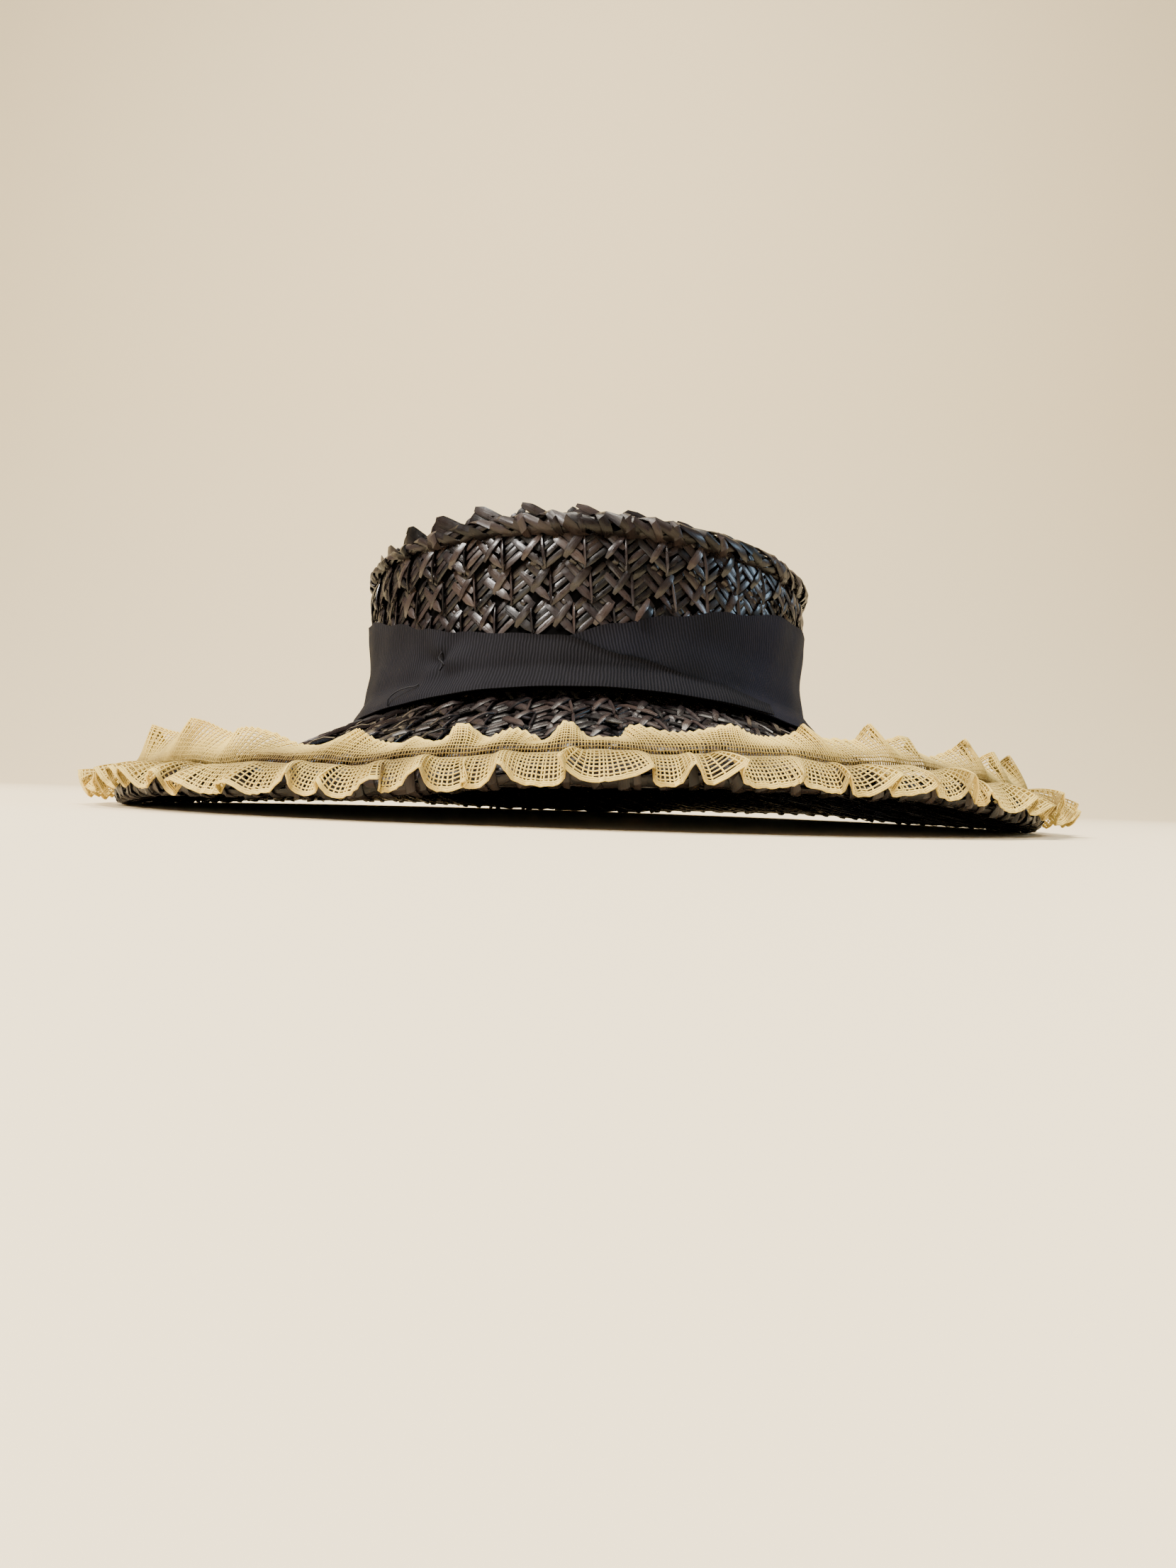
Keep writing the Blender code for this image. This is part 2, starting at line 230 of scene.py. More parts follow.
brim_low, brim_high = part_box("brim")
HAT_CENTRE = np.array([brim_low[0] + brim_high[0], brim_low[1] + brim_high[1], 0]) / (2 * MM)
print("the hat's axis is", HAT_CENTRE.round(2), "mm from the origin")

# %% [markdown]
# ## One splint
#
# Hats like this are sewn from a plait of split straw: flat, slightly crowned strips about two
# millimetres wide, lacquered after dyeing. One splint could be a ribbon with a thickness, but a
# real one has a rounded back that carries the glint. So it is modelled once, as a bar whose upper
# edges are bevelled and which is cut into short lengths that can bend. There are three of it: the
# fine one, a short one with fewer lengths for places further from the eye, and a plain one with
# tapered sides for what nobody looks at closely, such as the underside.

# %% Model the splint
BEVEL, TAPER = 0.26, 0.55


def model_splint(name, lengths, bevelled):
    """A bar from x = 0 to 1, one wide and one high, with its crown up and cut into lengths."""
    bpy.ops.object.select_all(action="DESELECT")
    bpy.ops.mesh.primitive_cube_add(size=1, location=(0.5, 0, 0.5))
    bar = bpy.context.object
    bar.name = name
    bpy.ops.object.transform_apply(location=True, rotation=True, scale=True)
    for edge in bar.data.edges:
        ends = [bar.data.vertices[number].co for number in edge.vertices]
        along = abs(ends[0].x - ends[1].x) > 0.5
        edge.select = along and ends[0].z > 0.5
    bpy.ops.object.mode_set(mode="EDIT")
    bpy.ops.mesh.select_mode(type="EDGE")
    if bevelled:
        bpy.ops.mesh.bevel(offset=BEVEL, segments=1, affect="EDGES")
    else:
        bpy.ops.transform.resize(value=(1, TAPER, 1))
    for cut in range(1, lengths):
        bpy.ops.mesh.select_all(action="SELECT")
        bpy.ops.mesh.bisect(plane_co=(cut / lengths, 0, 0), plane_no=(1, 0, 0))
    bpy.ops.object.mode_set(mode="OBJECT")
    points = np.array([point.co[:] for point in bar.data.vertices])
    faces = [tuple(face.vertices) for face in bar.data.polygons]
    bpy.data.objects.remove(bar)
    return points, faces


FINE_SPLINT = model_splint("fine_splint", 5, True)
SHORT_SPLINT = model_splint("short_splint", 3, True)
PLAIN_SPLINT = model_splint("plain_splint", 3, False)
for kind in (FINE_SPLINT, SHORT_SPLINT, PLAIN_SPLINT):
    print("a splint with", len(kind[0]), "points and", len(kind[1]), "faces")

# %% [markdown]
# ## Laying splints
#
# Every splint follows a short route over a surface: so far along the row (s), so far up from the
# row's points (t), and so far out from the surface (n). The bar is bent along that route in these
# three easy numbers first, and only then is each of its points put on the crown, the brim or the
# tip. That way one small table of routes dresses every surface of the hat. No two splints of a
# hand-made plait match, so each one is nudged, tilted and tinted by a seeded draw.

# %% Bend and place splints
def curve(route, share):
    """Points of a soft curve through a route, at these shares of it, held at its ends."""
    route = np.array(route, float)
    count = len(route) - 1
    ends = (2 * route[:1] - route[1:2], route, 2 * route[-1:] - route[-2:-1])
    knots = np.concatenate(ends)
    place = np.clip(share, 0, 1) * count
    step = np.minimum(place.astype(int), count - 1)
    x = (place - step)[:, None]
    a, b, c, d = (knots[step + offset] for offset in range(4))
    return 0.5 * (2 * b + (c - a) * x + (2 * a - 5 * b + 4 * c - d) * x**2
                  + (3 * b - a - 3 * c + d) * x**3)


TURN_SPREAD, LEAN_SPREAD, TWIST_SPREAD = 2.5, 6, 7  # degrees
NARROWEST, MIDDLE_TINT, TINT_SPREAD = 0.72, 0.52, 0.22


def new_piece(name, points, faces, looks):
    """A piece at the origin, from points in millimetres round the hat's axis."""
    mesh = bpy.data.meshes.new(name)
    mesh.from_pydata(((points + HAT_CENTRE) * MM).tolist(), [], faces)
    made = bpy.data.objects.new(name, mesh)
    bpy.context.scene.collection.objects.link(made)
    mesh.materials.append(looks)
    triangles = sum(len(face) - 2 for face in faces)
    print(name, "has", triangles, "triangles")
    return made


def smooth_below(piece, angle):
    """Smooths every edge whose faces meet at less than this angle, in degrees."""
    select_only(piece)
    bpy.ops.object.shade_smooth_by_angle(angle=math.radians(angle))


def store(mesh, name, values):
    """Keeps one number for each point of a mesh, for its material to read."""
    mesh.attributes.new(name, "FLOAT", "POINT").data.foreach_set("value", values)


def store_map(mesh, name, places):
    """Keeps a UV map, from one place for each point of a mesh."""
    corners = np.zeros(len(mesh.loops), int)
    mesh.loops.foreach_get("vertex_index", corners)
    mesh.uv_layers.new(name=name).data.foreach_set("uv", places[corners].ravel())


class Pile:
    """Splints that are to become one mesh, with their fibre coordinates and tints."""

    def __init__(self, seed, relief=1.3):
        self.draw = random.Random(seed)
        self.relief = relief
        self.points, self.faces, self.fibre, self.tint, self.grime_and_painted_shade = [], [], [], [], []
        self.count = 0

    def lay(self, splint, strip, place, nudge=0.22, scale=1.0, bright=0.0):
        """One splint along strip.route. place(s, t, n) puts it on its surface."""
        points, faces = splint
        draw = self.draw
        share, side = points[:, 0], points[:, 1]
        shift = np.array([draw.gauss(0, nudge), draw.gauss(0, nudge), draw.gauss(0, 0.3 * nudge)])
        route = np.array(strip.route, float) * np.array([scale, 1, 1]) + shift
        turn = math.radians(draw.gauss(0, TURN_SPREAD))
        middle = route.mean(axis=0)
        spin = np.array([[math.cos(turn), math.sin(turn), 0],
                         [-math.sin(turn), math.cos(turn), 0], [0, 0, 1]])
        route = (route - middle) @ spin + middle
        centre = curve(route, share)
        ahead = curve(route, share + 0.04) - curve(route, share - 0.04)
        length = np.maximum(np.hypot(ahead[:, 0], ahead[:, 1]), 1e-6)
        left = np.stack([-ahead[:, 1] / length, ahead[:, 0] / length, 0 * length], axis=1)
        width = strip.width * draw.uniform(NARROWEST, 1.0)
        narrow = 1 - (1 - strip.end_width) * np.clip(4 * share - 3, 0, 1)
        lean = math.radians(strip.tilt + draw.gauss(0, LEAN_SPREAD))
        lean = lean + math.radians(draw.gauss(0, TWIST_SPREAD)) * (share - 0.5)
        across = side * width * narrow
        up = points[:, 2] * strip.thick
        local = centre + left * (across * np.cos(lean) - up * np.sin(lean))[:, None]
        local[:, 2] += up * np.cos(lean) + across * np.sin(lean)
        self.points.append(place(local[:, 0], local[:, 1], local[:, 2]))
        self.faces += [tuple(number + self.count for number in face) for face in faces]
        run = np.linalg.norm(np.diff(route, axis=0), axis=1).sum()
        offset = draw.uniform(0, 100)
        self.fibre.append(np.stack([share * run + offset, side * width + 7 * offset], axis=1))
        tint = min(1.0, max(0.0, draw.gauss(MIDDLE_TINT + bright, TINT_SPREAD)))
        self.tint.append(np.full(len(points), tint))
        # Grime and painted shade: the low parts of a splint and its long edges are stored darker.
        sunk = 1 - np.clip(local[:, 2] / self.relief, 0, 1)
        self.grime_and_painted_shade.append(0.6 * sunk + 0.4 * (np.abs(side) > 0.45))
        self.count += len(points)

    def piece(self, name, looks):
        """The whole pile as one piece. Its fibre coordinates are in centimetres."""
        print(name, "is laid from", len(self.points), "splints")
        made = new_piece(name, np.concatenate(self.points), self.faces, looks)
        store_map(made.data, "fibre", np.concatenate(self.fibre) * 0.1)
        store(made.data, "tint", np.concatenate(self.tint))
        store(made.data, "grime_and_painted_shade", np.concatenate(self.grime_and_painted_shade))
        smooth_below(made, 35)
        return made


# %% [markdown]
# ## Lacquered straw
#
# The straw is dyed a dark brown and lacquered, so light lies on it in two ways: a dull sheen that
# follows the fine fibres, and a sharper glint from the lacquer. A node group draws the fibres from
# each splint's own UV map, long in one direction and very fine in the other. The coat belongs to
# the material itself. Each splint's tint decides how far the dye has faded on it, and a second
# value, stored when it is laid, darkens what lies deep in the plait and along each splint's edges:
# grime there, and painted shade as well.

# %% Fibre group and straw materials
def new_group(name, inputs, outputs):
    """A node group: its tree, the sockets it takes in, and its output node."""
    group = bpy.data.node_groups.new(name, "ShaderNodeTree")
    for label, value in inputs:
        socket = group.interface.new_socket(label, in_out="INPUT", socket_type="NodeSocketFloat")
        socket.default_value = value
    for label in outputs:
        group.interface.new_socket(label, in_out="OUTPUT", socket_type="NodeSocketFloat")
    return group, group.nodes.new("NodeGroupInput").outputs, group.nodes.new("NodeGroupOutput")


def feed(tree, node, inputs):
    """Sets a node's sockets: to a value, or by a link where another node's output is given."""
    for socket, value in inputs.items():
        if isinstance(value, bpy.types.NodeSocket):
            tree.links.new(value, node.inputs[socket])
        else:
            node.inputs[socket].default_value = value


def add(tree, kind, inputs=None, **settings):
    node = tree.nodes.new("ShaderNode" + kind)
    for key, value in settings.items():
        setattr(node, key, value)
    feed(tree, node, inputs or {})
    return node


def compute(tree, operation, *values):
    return add(tree, "Math", dict(enumerate(values)), operation=operation).outputs["Value"]


def noise(tree, place, scale, detail, roughness=0.5, **settings):
    inputs = {"Vector": place, "Scale": scale, "Detail": detail, "Roughness": roughness}
    return add(tree, "TexNoise", inputs, **settings).outputs["Fac"]


def stored(tree, name):
    return add(tree, "Attribute", attribute_name=name).outputs["Fac"]


def remap(tree, value, low, high, first=0.0, last=1.0):
    """A value that runs from first to last, made to run from low to high."""
    inputs = {"Value": value, "From Min": first, "From Max": last, "To Min": low, "To Max": high}
    return add(tree, "MapRange", inputs).outputs["Result"]


def bump(tree, height, strength, distance):
    inputs = {"Height": height, "Strength": strength, "Distance": distance}
    return add(tree, "Bump", inputs).outputs["Normal"]


def ramp(tree, value, stops):
    node = add(tree, "ValToRGB", {"Fac": value})
    band = node.color_ramp
    while len(band.elements) < len(stops):
        band.elements.new(0.5)
    for element, (position, colour) in zip(band.elements, stops):
        element.position = position
        element.color = (*colour, 1)
    return node.outputs["Color"]


def make_fibre_group():
    """Streaks that run along a splint, and slower patches, both from 0 to 1."""
    group, into, out = new_group(
        "fibre_streaks", [("Along", 1.0), ("Across", 30.0), ("Patches", 2.0)], ["Streaks", "Patches"],
    )
    surface = add(group, "UVMap", uv_map="fibre").outputs["UV"]
    spread = add(group, "CombineXYZ", {"X": into["Along"], "Y": into["Across"]}).outputs["Vector"]
    stretched = add(group, "VectorMath", {0: surface, 1: spread}, operation="MULTIPLY").outputs["Vector"]
    streaks = noise(group, stretched, 1.0, 4.0, 0.65, noise_dimensions="2D")
    patches = noise(group, surface, into["Patches"], 2.0, noise_dimensions="2D")
    feed(group, out, {"Streaks": streaks, "Patches": patches})
    return group


FIBRE = make_fibre_group()


def straw_material(name, dark, middle, pale, roughness, coat, gloss):
    made, tree, shader = new_material(name)
    fibre = add(tree, "Group", node_tree=FIBRE)
    feed(tree, fibre, {"Along": 1.6, "Across": 34.0, "Patches": 5.0})
    streaks = fibre.outputs["Streaks"]
    mixed = compute(tree, "ADD", compute(tree, "MULTIPLY_ADD", streaks, 0.5, -0.25), stored(tree, "tint"))
    # Grime and painted shade: darker where the splint lies deep in the plait and at its edges.
    sunk = compute(tree, "MULTIPLY_ADD", stored(tree, "grime_and_painted_shade"), -0.6, mixed)
    feed(tree, shader, {
        "Base Color": ramp(tree, sunk, ((0.0, dark), (0.42, middle), (1.0, pale))),
        "Roughness": remap(tree, fibre.outputs["Patches"], roughness - 0.1, roughness + 0.12, 0.3, 0.7),
        "Normal": bump(tree, streaks, 0.55, 0.00012),
        "Specular IOR Level": gloss, "Coat Weight": coat, "Coat Roughness": 0.14,
    })
    return made


LACQUERED_STRAW = straw_material(
    "lacquered_straw", dark=(0.0012, 0.0006, 0.0006), middle=(0.0164, 0.0110, 0.0106),
    pale=(0.058, 0.039, 0.032), roughness=0.33, coat=0.26, gloss=0.34,
)
# A near-black straw for the ground between the splints: painted shade, where the gaps lie in shadow.
GROUND_STRAW_PAINTED_SHADE = straw_material(
    "straw_ground_painted_shade", dark=(0.0005, 0.0003, 0.0003), middle=(0.0012, 0.0008, 0.0006),
    pale=(0.003, 0.002, 0.0015), roughness=0.8, coat=0.0, gloss=0.05,
)
# The same straw as the plait, coloured darker as painted shade, because the bound splints face up into the
# lamps.
BOUND_STRAW_PAINTED_SHADE = straw_material(
    "bound_straw_painted_shade", dark=(0.0008, 0.0004, 0.0004), middle=(0.0092, 0.0062, 0.0061),
    pale=(0.038, 0.027, 0.025), roughness=0.36, coat=0.1, gloss=0.22,
)
print("three straw materials: for the plait, for what is bound over its edges, and for the ground below")

# %% [markdown]
# ## The plait of the crown
#
# The crown is a long saw-toothed plait, wound round and round, each row covering the upper half of
# the row below like a shingle. One tooth repeats: a sunken panel of splints that rise to the
# right, two or three broad splints that come down over them to the tooth's point, a fold that runs
# straight up from the point, and a short strap across. The table below is one tooth, with its
# point at zero; copying it thirty-eight times makes a row.

# %% One tooth of plait
Strip = namedtuple("Strip", "route width tilt end_width thick")
TOOTH_PITCH = 10.58


def strip(*route, width, tilt=0.0, end_width=1.0, thick=0.42):
    return Strip(route, width, tilt, end_width, thick)


PLAIT_TOOTH = (
    strip((-0.6, -0.1, 0.0), (2.2, 2.5, 0.15), (4.6, 4.7, 0.1), (7.0, 6.9, -0.3), width=1.75),
    strip((-0.8, 2.3, 0.0), (1.2, 4.2, 0.15), (3.2, 6.0, 0.1), (5.6, 8.2, -0.3), width=1.75),
    strip((-1.0, 4.6, 0.0), (0.6, 6.1, 0.12), (2.2, 7.5, 0.1), (4.2, 9.4, -0.3), width=1.75),
    strip((-1.1, 6.9, 0.0), (0.3, 8.2, 0.1), (1.7, 9.5, 0.05), (3.0, 10.8, -0.3), width=1.75),
    strip((5.4, 8.1, -0.3), (6.4, 9.1, 0.5), (7.4, 10.1, 0.1), width=1.9),
    strip((3.9, 9.5, -0.3), (4.9, 10.5, 0.5), (5.9, 11.5, 0.1), width=1.9),
    strip((-9.9, 9.3, -0.3), (-7.4, 7.1, 0.35), (-4.8, 4.7, 0.6), (-2.4, 2.4, 0.8),
          (-0.7, 0.7, 0.7), width=2.35, end_width=0.5),
    strip((-8.3, 11.4, -0.3), (-6.0, 9.2, 0.35), (-3.5, 6.7, 0.55), (-1.2, 4.4, 0.7), width=2.35),
    strip((-6.4, 13.2, -0.3), (-4.0, 10.9, 0.35), (-1.7, 8.6, 0.6), width=2.1),
    strip((-5.7, 2.7, 0.5), (-4.3, 4.8, 1.1), (-2.8, 7.0, 1.15), (-1.3, 9.3, 0.5), width=2.2),
    strip((-0.3, -0.2, 0.65), (-0.55, 2.8, 0.85), (-0.9, 5.8, 0.85), (-1.2, 8.6, 0.5),
          width=0.95, tilt=-28),
)

CrownRow = namedtuple("CrownRow", "points_at proud turn")
TEETH = 38
CROWN_ROWS = (
    CrownRow(points_at=31.7, proud=2.8, turn=0.0),
    CrownRow(points_at=23.3, proud=2.3, turn=0.2),
    CrownRow(points_at=14.9, proud=1.7, turn=-0.2),
)
STACK = 1.5  # height of the crossing splints above the row's ground
TUCKED_GROUND, ROW_FALL = -0.35, 11.0  # the ground of a row falls to this, over so many mm
SEEN = -0.1  # splints are fine where the cosine of their azimuth is above this

crown = Pile(11)
for row in CROWN_ROWS:
    for number in range(TEETH):
        def on_row(s, t, n, row=row, number=number):
            azimuth = 360 / TEETH * (number + row.turn + s / TOOTH_PITCH)
            height = row.points_at + t
            out = np.clip(t / ROW_FALL, -0.1, 1.2)
            ground = (row.proud - STACK) * (1 - out) + TUCKED_GROUND * out
            return on_crown(azimuth, eased(WALL_RADIUS, height) + ground + 1.15 * n, height)

        front = math.cos(2 * math.pi * (number + row.turn) / TEETH) > SEEN
        for one in PLAIT_TOOTH:
            crown.lay(FINE_SPLINT if front else SHORT_SPLINT, one, on_row)

LOOSE_STRAW = strip((15.9, 25.6, 0.9), (14.4, 23.0, 2.9), (12.9, 20.8, 3.7), (11.9, 18.8, 3.9),
                    width=1.8)
LOOSE_RADIUS = 62.0


def over_ribbon(s, t, n):
    azimuth = np.degrees(s / LOOSE_RADIUS)
    return on_crown(azimuth, eased(WALL_RADIUS, t) + n, t)


crown.lay(FINE_SPLINT, LOOSE_STRAW, over_ribbon, nudge=0.0, bright=0.3)
print("crown plait:", len(crown.points), "splints in", len(CROWN_ROWS), "rows")

# %% [markdown]
# ## The inside of the crown and the ground between the splints
#
# From below, the same plait shows its back: plain crossing splints with no straps. It is laid as
# a simpler tooth, facing inwards. Between the two faces a plait is nowhere quite closed, and straw
# in shadow shows through the small gaps. One thin band, spun once round, gives that ground, so no
# light leaks through the wall. Its straw is coloured nearly black, as painted shade.

# %% Back of the plait and a thin ground
BACK_TOOTH = (
    strip((-1.0, -0.6, 0.0), (4.0, 4.2, 0.1), (9.5, 9.4, 0.0), width=2.4),
    strip((-3.4, 1.4, 0.0), (1.6, 6.2, 0.1), (5.2, 9.8, 0.0), width=2.4),
    strip((9.4, -0.4, 0.3), (5.0, 3.8, 0.45), (-0.6, 9.6, 0.1), width=2.4),
    strip((11.6, 1.8, 0.3), (7.4, 6.0, 0.45), (3.0, 10.6, 0.1), width=2.4),
)
BACK_ROWS = (1.0, 9.6, 18.2, 26.8, 35.4)

inside = Pile(12, relief=0.5)
for foot in BACK_ROWS:
    for number in range(TEETH):
        def on_inside(s, t, n, foot=foot, number=number):
            azimuth = -360 / TEETH * (number + s / TOOTH_PITCH)
            height = np.clip(foot + t, 0.0, CROWN_HEIGHT)
            return on_crown(azimuth, eased(WALL_RADIUS, height) - 0.55 - 0.6 * n, height)

        for one in BACK_TOOTH:
            inside.lay(PLAIN_SPLINT, one, on_inside, nudge=0.15)


def spun_band(name, section, slices, place, looks):
    """A closed section, spun once round by the spin operator and then put on the hat's shape."""
    bpy.ops.object.select_all(action="DESELECT")
    bpy.ops.mesh.primitive_circle_add(vertices=len(section), radius=0.5, location=(0, 0, 0))
    band = bpy.context.object
    band.name = name
    for number, point in enumerate(band.data.vertices):
        turn = 2 * math.pi * number / len(section)
        point.co = (2 + 0.5 * math.cos(turn), 0, 0.5 * math.sin(turn))
    bpy.ops.object.mode_set(mode="EDIT")
    bpy.ops.mesh.select_all(action="SELECT")
    bpy.ops.mesh.spin(steps=slices, angle=2 * math.pi, center=(0, 0, 0), axis=(0, 0, 1))
    bpy.ops.mesh.select_all(action="SELECT")
    bpy.ops.mesh.remove_doubles(threshold=0.001)
    bpy.ops.mesh.normals_make_consistent(inside=False)
    bpy.ops.object.mode_set(mode="OBJECT")
    places = np.array([point.co[:] for point in band.data.vertices])
    out = np.hypot(places[:, 0], places[:, 1]) - 2
    station = np.round(np.arctan2(places[:, 2], out) / (2 * math.pi) * len(section)).astype(int)
    azimuth = np.degrees(np.arctan2(places[:, 0], -places[:, 1]))
    rows = np.array(section, float)[station % len(section)]
    points = (place(azimuth, rows[:, 0], rows[:, 1]) + HAT_CENTRE) * MM
    band.data.vertices.foreach_set("co", points.ravel())
    band.data.update()
    bpy.ops.object.mode_set(mode="EDIT")
    bpy.ops.mesh.select_all(action="SELECT")
    bpy.ops.mesh.normals_make_consistent(inside=False)
    bpy.ops.object.mode_set(mode="OBJECT")
    band.data.materials.append(looks)
    smooth_below(band, 40)
    return band


GROUND_HEIGHTS = (0.4, 7, 14, 21, 28, 35, 44.4)
OUTER_GROUND, INNER_GROUND = -0.15, -0.45
crown_ground = spun_band(
    "crown_ground",
    [(OUTER_GROUND, height) for height in GROUND_HEIGHTS]
    + [(INNER_GROUND, height) for height in GROUND_HEIGHTS[::-1]],
    96,
    lambda azimuth, out, height: on_crown(azimuth, eased(WALL_RADIUS, height) + out, height),
    GROUND_STRAW_PAINTED_SHADE,
)
crown_plait = crown.piece("crown_plait", LACQUERED_STRAW)
crown_inside = inside.piece("crown_inside", LACQUERED_STRAW)
for piece in (crown_plait, crown_inside, crown_ground):
    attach(piece, "root")
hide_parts("crown_wall")

# %% [markdown]
# ## The wrapped strand round the top
#
# The topmost round of the wall is turned over and bound: long splints run along it and cross each
# other, and every centimetre or so a short one is wrapped right round. It could be a twisted rope,
# but a rope has no flat facets. So its section is a short table that goes from the outside of the
# wall over its top, and splints are laid on that as on any other surface: t now runs round the
# strand. The same way makes the brim's edge further on.

# %% Strand along the crown's rim
def rolled(section, t):
    """Place and outward direction on a rounded section, at the distance t along it."""
    rows = np.array(section, float)
    steps = np.linalg.norm(np.diff(rows, axis=0), axis=1)
    run = np.concatenate([[0.0], np.cumsum(steps)])
    t = np.clip(t, 0, run[-1])

    def at(distance):
        return np.stack([np.interp(distance, run, rows[:, axis]) for axis in (0, 1)], axis=1)

    spot = (at(t) + at(np.clip(t - 0.5, 0, run[-1])) + at(np.clip(t + 0.5, 0, run[-1]))) / 3
    ahead = at(np.clip(t + 0.8, 0, run[-1])) - at(np.clip(t - 0.8, 0, run[-1]))
    ahead /= np.maximum(np.linalg.norm(ahead, axis=1), 1e-6)[:, None]
    return spot, np.stack([ahead[:, 1], -ahead[:, 0]], axis=1)


RIM_SECTION = ((0.4, 40.6), (1.3, 41.1), (1.7, 42.3), (1.6, 43.5), (0.9, 44.4), (-0.6, 44.7),
               (-1.9, 44.4))
RIM_TOP, RIM_RADIUS, RIM_PITCH = 44.7, 64.5, 13.2
RIM_SIZE = ((0, 1.0), (50, 0.9), (110, 0.75), (180, 0.75), (260, 0.62), (300, 0.55), (335, 0.85),
            (360, 1.0))
RIM_UNIT = (
    strip((-4.0, -0.6, 0.0), (1.0, 1.2, 0.4), (6.0, 2.9, 0.6), (11.0, 4.8, 0.3), (15.0, 6.2, 0.0),
          width=1.9),
    strip((2.6, -0.8, 0.0), (7.6, 0.9, 0.4), (12.6, 2.5, 0.6), (17.6, 4.3, 0.1), width=1.8),
    strip((-4.4, 6.4, 0.0), (0.6, 5.0, 0.9), (5.4, 3.1, 1.5), (10.2, 1.1, 1.1), (14.0, -0.8, 0.1),
          width=2.1, end_width=0.5, tilt=10),
    strip((2.2, 6.6, 0.0), (7.2, 5.4, 0.9), (12.0, 3.6, 1.4), (16.8, 1.8, 0.9), (20.2, 0.2, 0.1),
          width=2.0, end_width=0.5, tilt=-8),
    strip((-1.0, 7.9, 0.0), (5.0, 7.0, 0.4), (12.0, 7.6, 0.0), width=1.9),
    strip((5.5, 8.1, 0.2), (10.0, 7.1, 0.6), (15.0, 7.7, 0.1), width=1.9),
)
RIM_WRAPS = (
    strip((7.4, 6.4, 0.1), (8.6, 4.6, 1.3), (9.9, 2.4, 1.45), (10.9, 0.2, 1.0), (11.4, -1.2, 0.2),
          width=2.7, end_width=0.6, thick=0.5),
    strip((10.4, 6.2, 0.1), (11.0, 4.2, 1.2), (11.9, 2.0, 1.3), (12.6, -0.4, 0.5), width=1.9, thick=0.5),
    strip((1.4, 6.2, 0.0), (2.6, 4.2, 1.2), (4.4, 1.8, 1.3), (6.0, -0.6, 0.4), width=2.3, thick=0.5),
)
WRAP_CHANCES = (0.6, 0.3, 0.35)

rim = Pile(13)
rim_units = round(2 * math.pi * RIM_RADIUS / RIM_PITCH)
for number in range(rim_units):
    def on_rim(s, t, n, number=number):
        azimuth = 360 / rim_units * (number + s / RIM_PITCH)
        spot, facing = rolled(RIM_SECTION, t)
        size = eased(RIM_SIZE, np.mod(azimuth, 360))
        n = n * (0.3 + 0.7 * size)
        height = RIM_TOP + (spot[:, 1] - RIM_TOP) * size + n * facing[:, 1]
        out = spot[:, 0] * (0.4 + 0.6 * size) + n * facing[:, 0]
        return on_crown(azimuth, eased(WALL_RADIUS, height) + out, height)

    for one in RIM_UNIT:
        rim.lay(FINE_SPLINT, one, on_rim, nudge=0.5)
    for one, chance in zip(RIM_WRAPS, WRAP_CHANCES):
        if rim.draw.random() < chance:
            rim.lay(FINE_SPLINT, one, on_rim, nudge=0.4, bright=0.05)

# %% [markdown]
# ## The tip of the crown
#
# The flat top is the same plait, sewn in rings that get smaller towards the middle. Its outermost
# ring was left free at its edge, so its points stand up behind the strand, highest on the left.
# The rings reuse the tooth of the wall: only the rule that places it is new, with t running in
# towards the middle instead of up. The underside is laid with the plain back of the plait.

# %% Rings of the tip
TIP_THICKNESS, TIP_DOME, TIP_RIM = 2.0, 2.2, 64.4
TIP_RINGS = (62.3, 54.6, 46.9, 39.2, 31.5, 23.8, 16.1, 8.6)
TIP_PITCH = 13.2
RING_LIFT, RING_EXTRA_LIFT, TALLEST_AZIMUTH = 0.3, 1.8, -60


def dome(radius):
    return TIP_DOME * (1 - (radius / TIP_RIM) ** 2)


def tip_place(ring, teeth, turn, over):
    """A rule that puts one ring's splints on the tip: over is 1 for the top and -1 below it."""
    pitch = TIP_PITCH if ring == TIP_RINGS[0] and over > 0 else 2 * math.pi * ring / teeth

    def place(s, t, n):
        azimuth = over * 360 / teeth * (turn + s / pitch)
        radius = np.clip(ring - t, 0.4, TIP_RIM)
        out = np.clip(t / 8.5, 0, 1)
        if over > 0:
            ground = CROWN_HEIGHT + GAP + TIP_THICKNESS - 1.1 + dome(radius) + 0.5 * (1 - out)
            if ring == TIP_RINGS[0]:
                away = np.cos(np.radians(azimuth - TALLEST_AZIMUTH))
                lift = RING_LIFT + RING_EXTRA_LIFT * np.maximum(0, away)
                ground = ground + lift * (1 - out) ** 2
            return on_crown(azimuth, radius, ground + 0.75 * n)
        ground = CROWN_HEIGHT + GAP + 0.5 + dome(radius) * np.clip((TIP_RIM - radius) / 6, 0, 1)
        return on_crown(azimuth, np.minimum(radius, TIP_RIM - 1.5), ground - 0.5 * n)

    return place


tip, tip_under = Pile(14), Pile(15, relief=0.5)
for ring in TIP_RINGS:
    outer = ring == TIP_RINGS[0]
    pitch = TIP_PITCH if outer else TOOTH_PITCH
    teeth = max(5, round(2 * math.pi * (ring - (0 if outer else 2)) / pitch))
    scale = TIP_PITCH / TOOTH_PITCH if outer else 2 * math.pi * ring / teeth / TOOTH_PITCH
    offset = tip.draw.random()
    for number in range(teeth):
        for one in PLAIT_TOOTH:
            place = tip_place(ring, teeth, number + offset, 1)
            tip.lay(SHORT_SPLINT if outer else PLAIN_SPLINT, one, place, scale=scale)
        for one in BACK_TOOTH:
            place = tip_place(ring, teeth, number, -1)
            tip_under.lay(PLAIN_SPLINT, one, place, nudge=0.15, scale=scale)

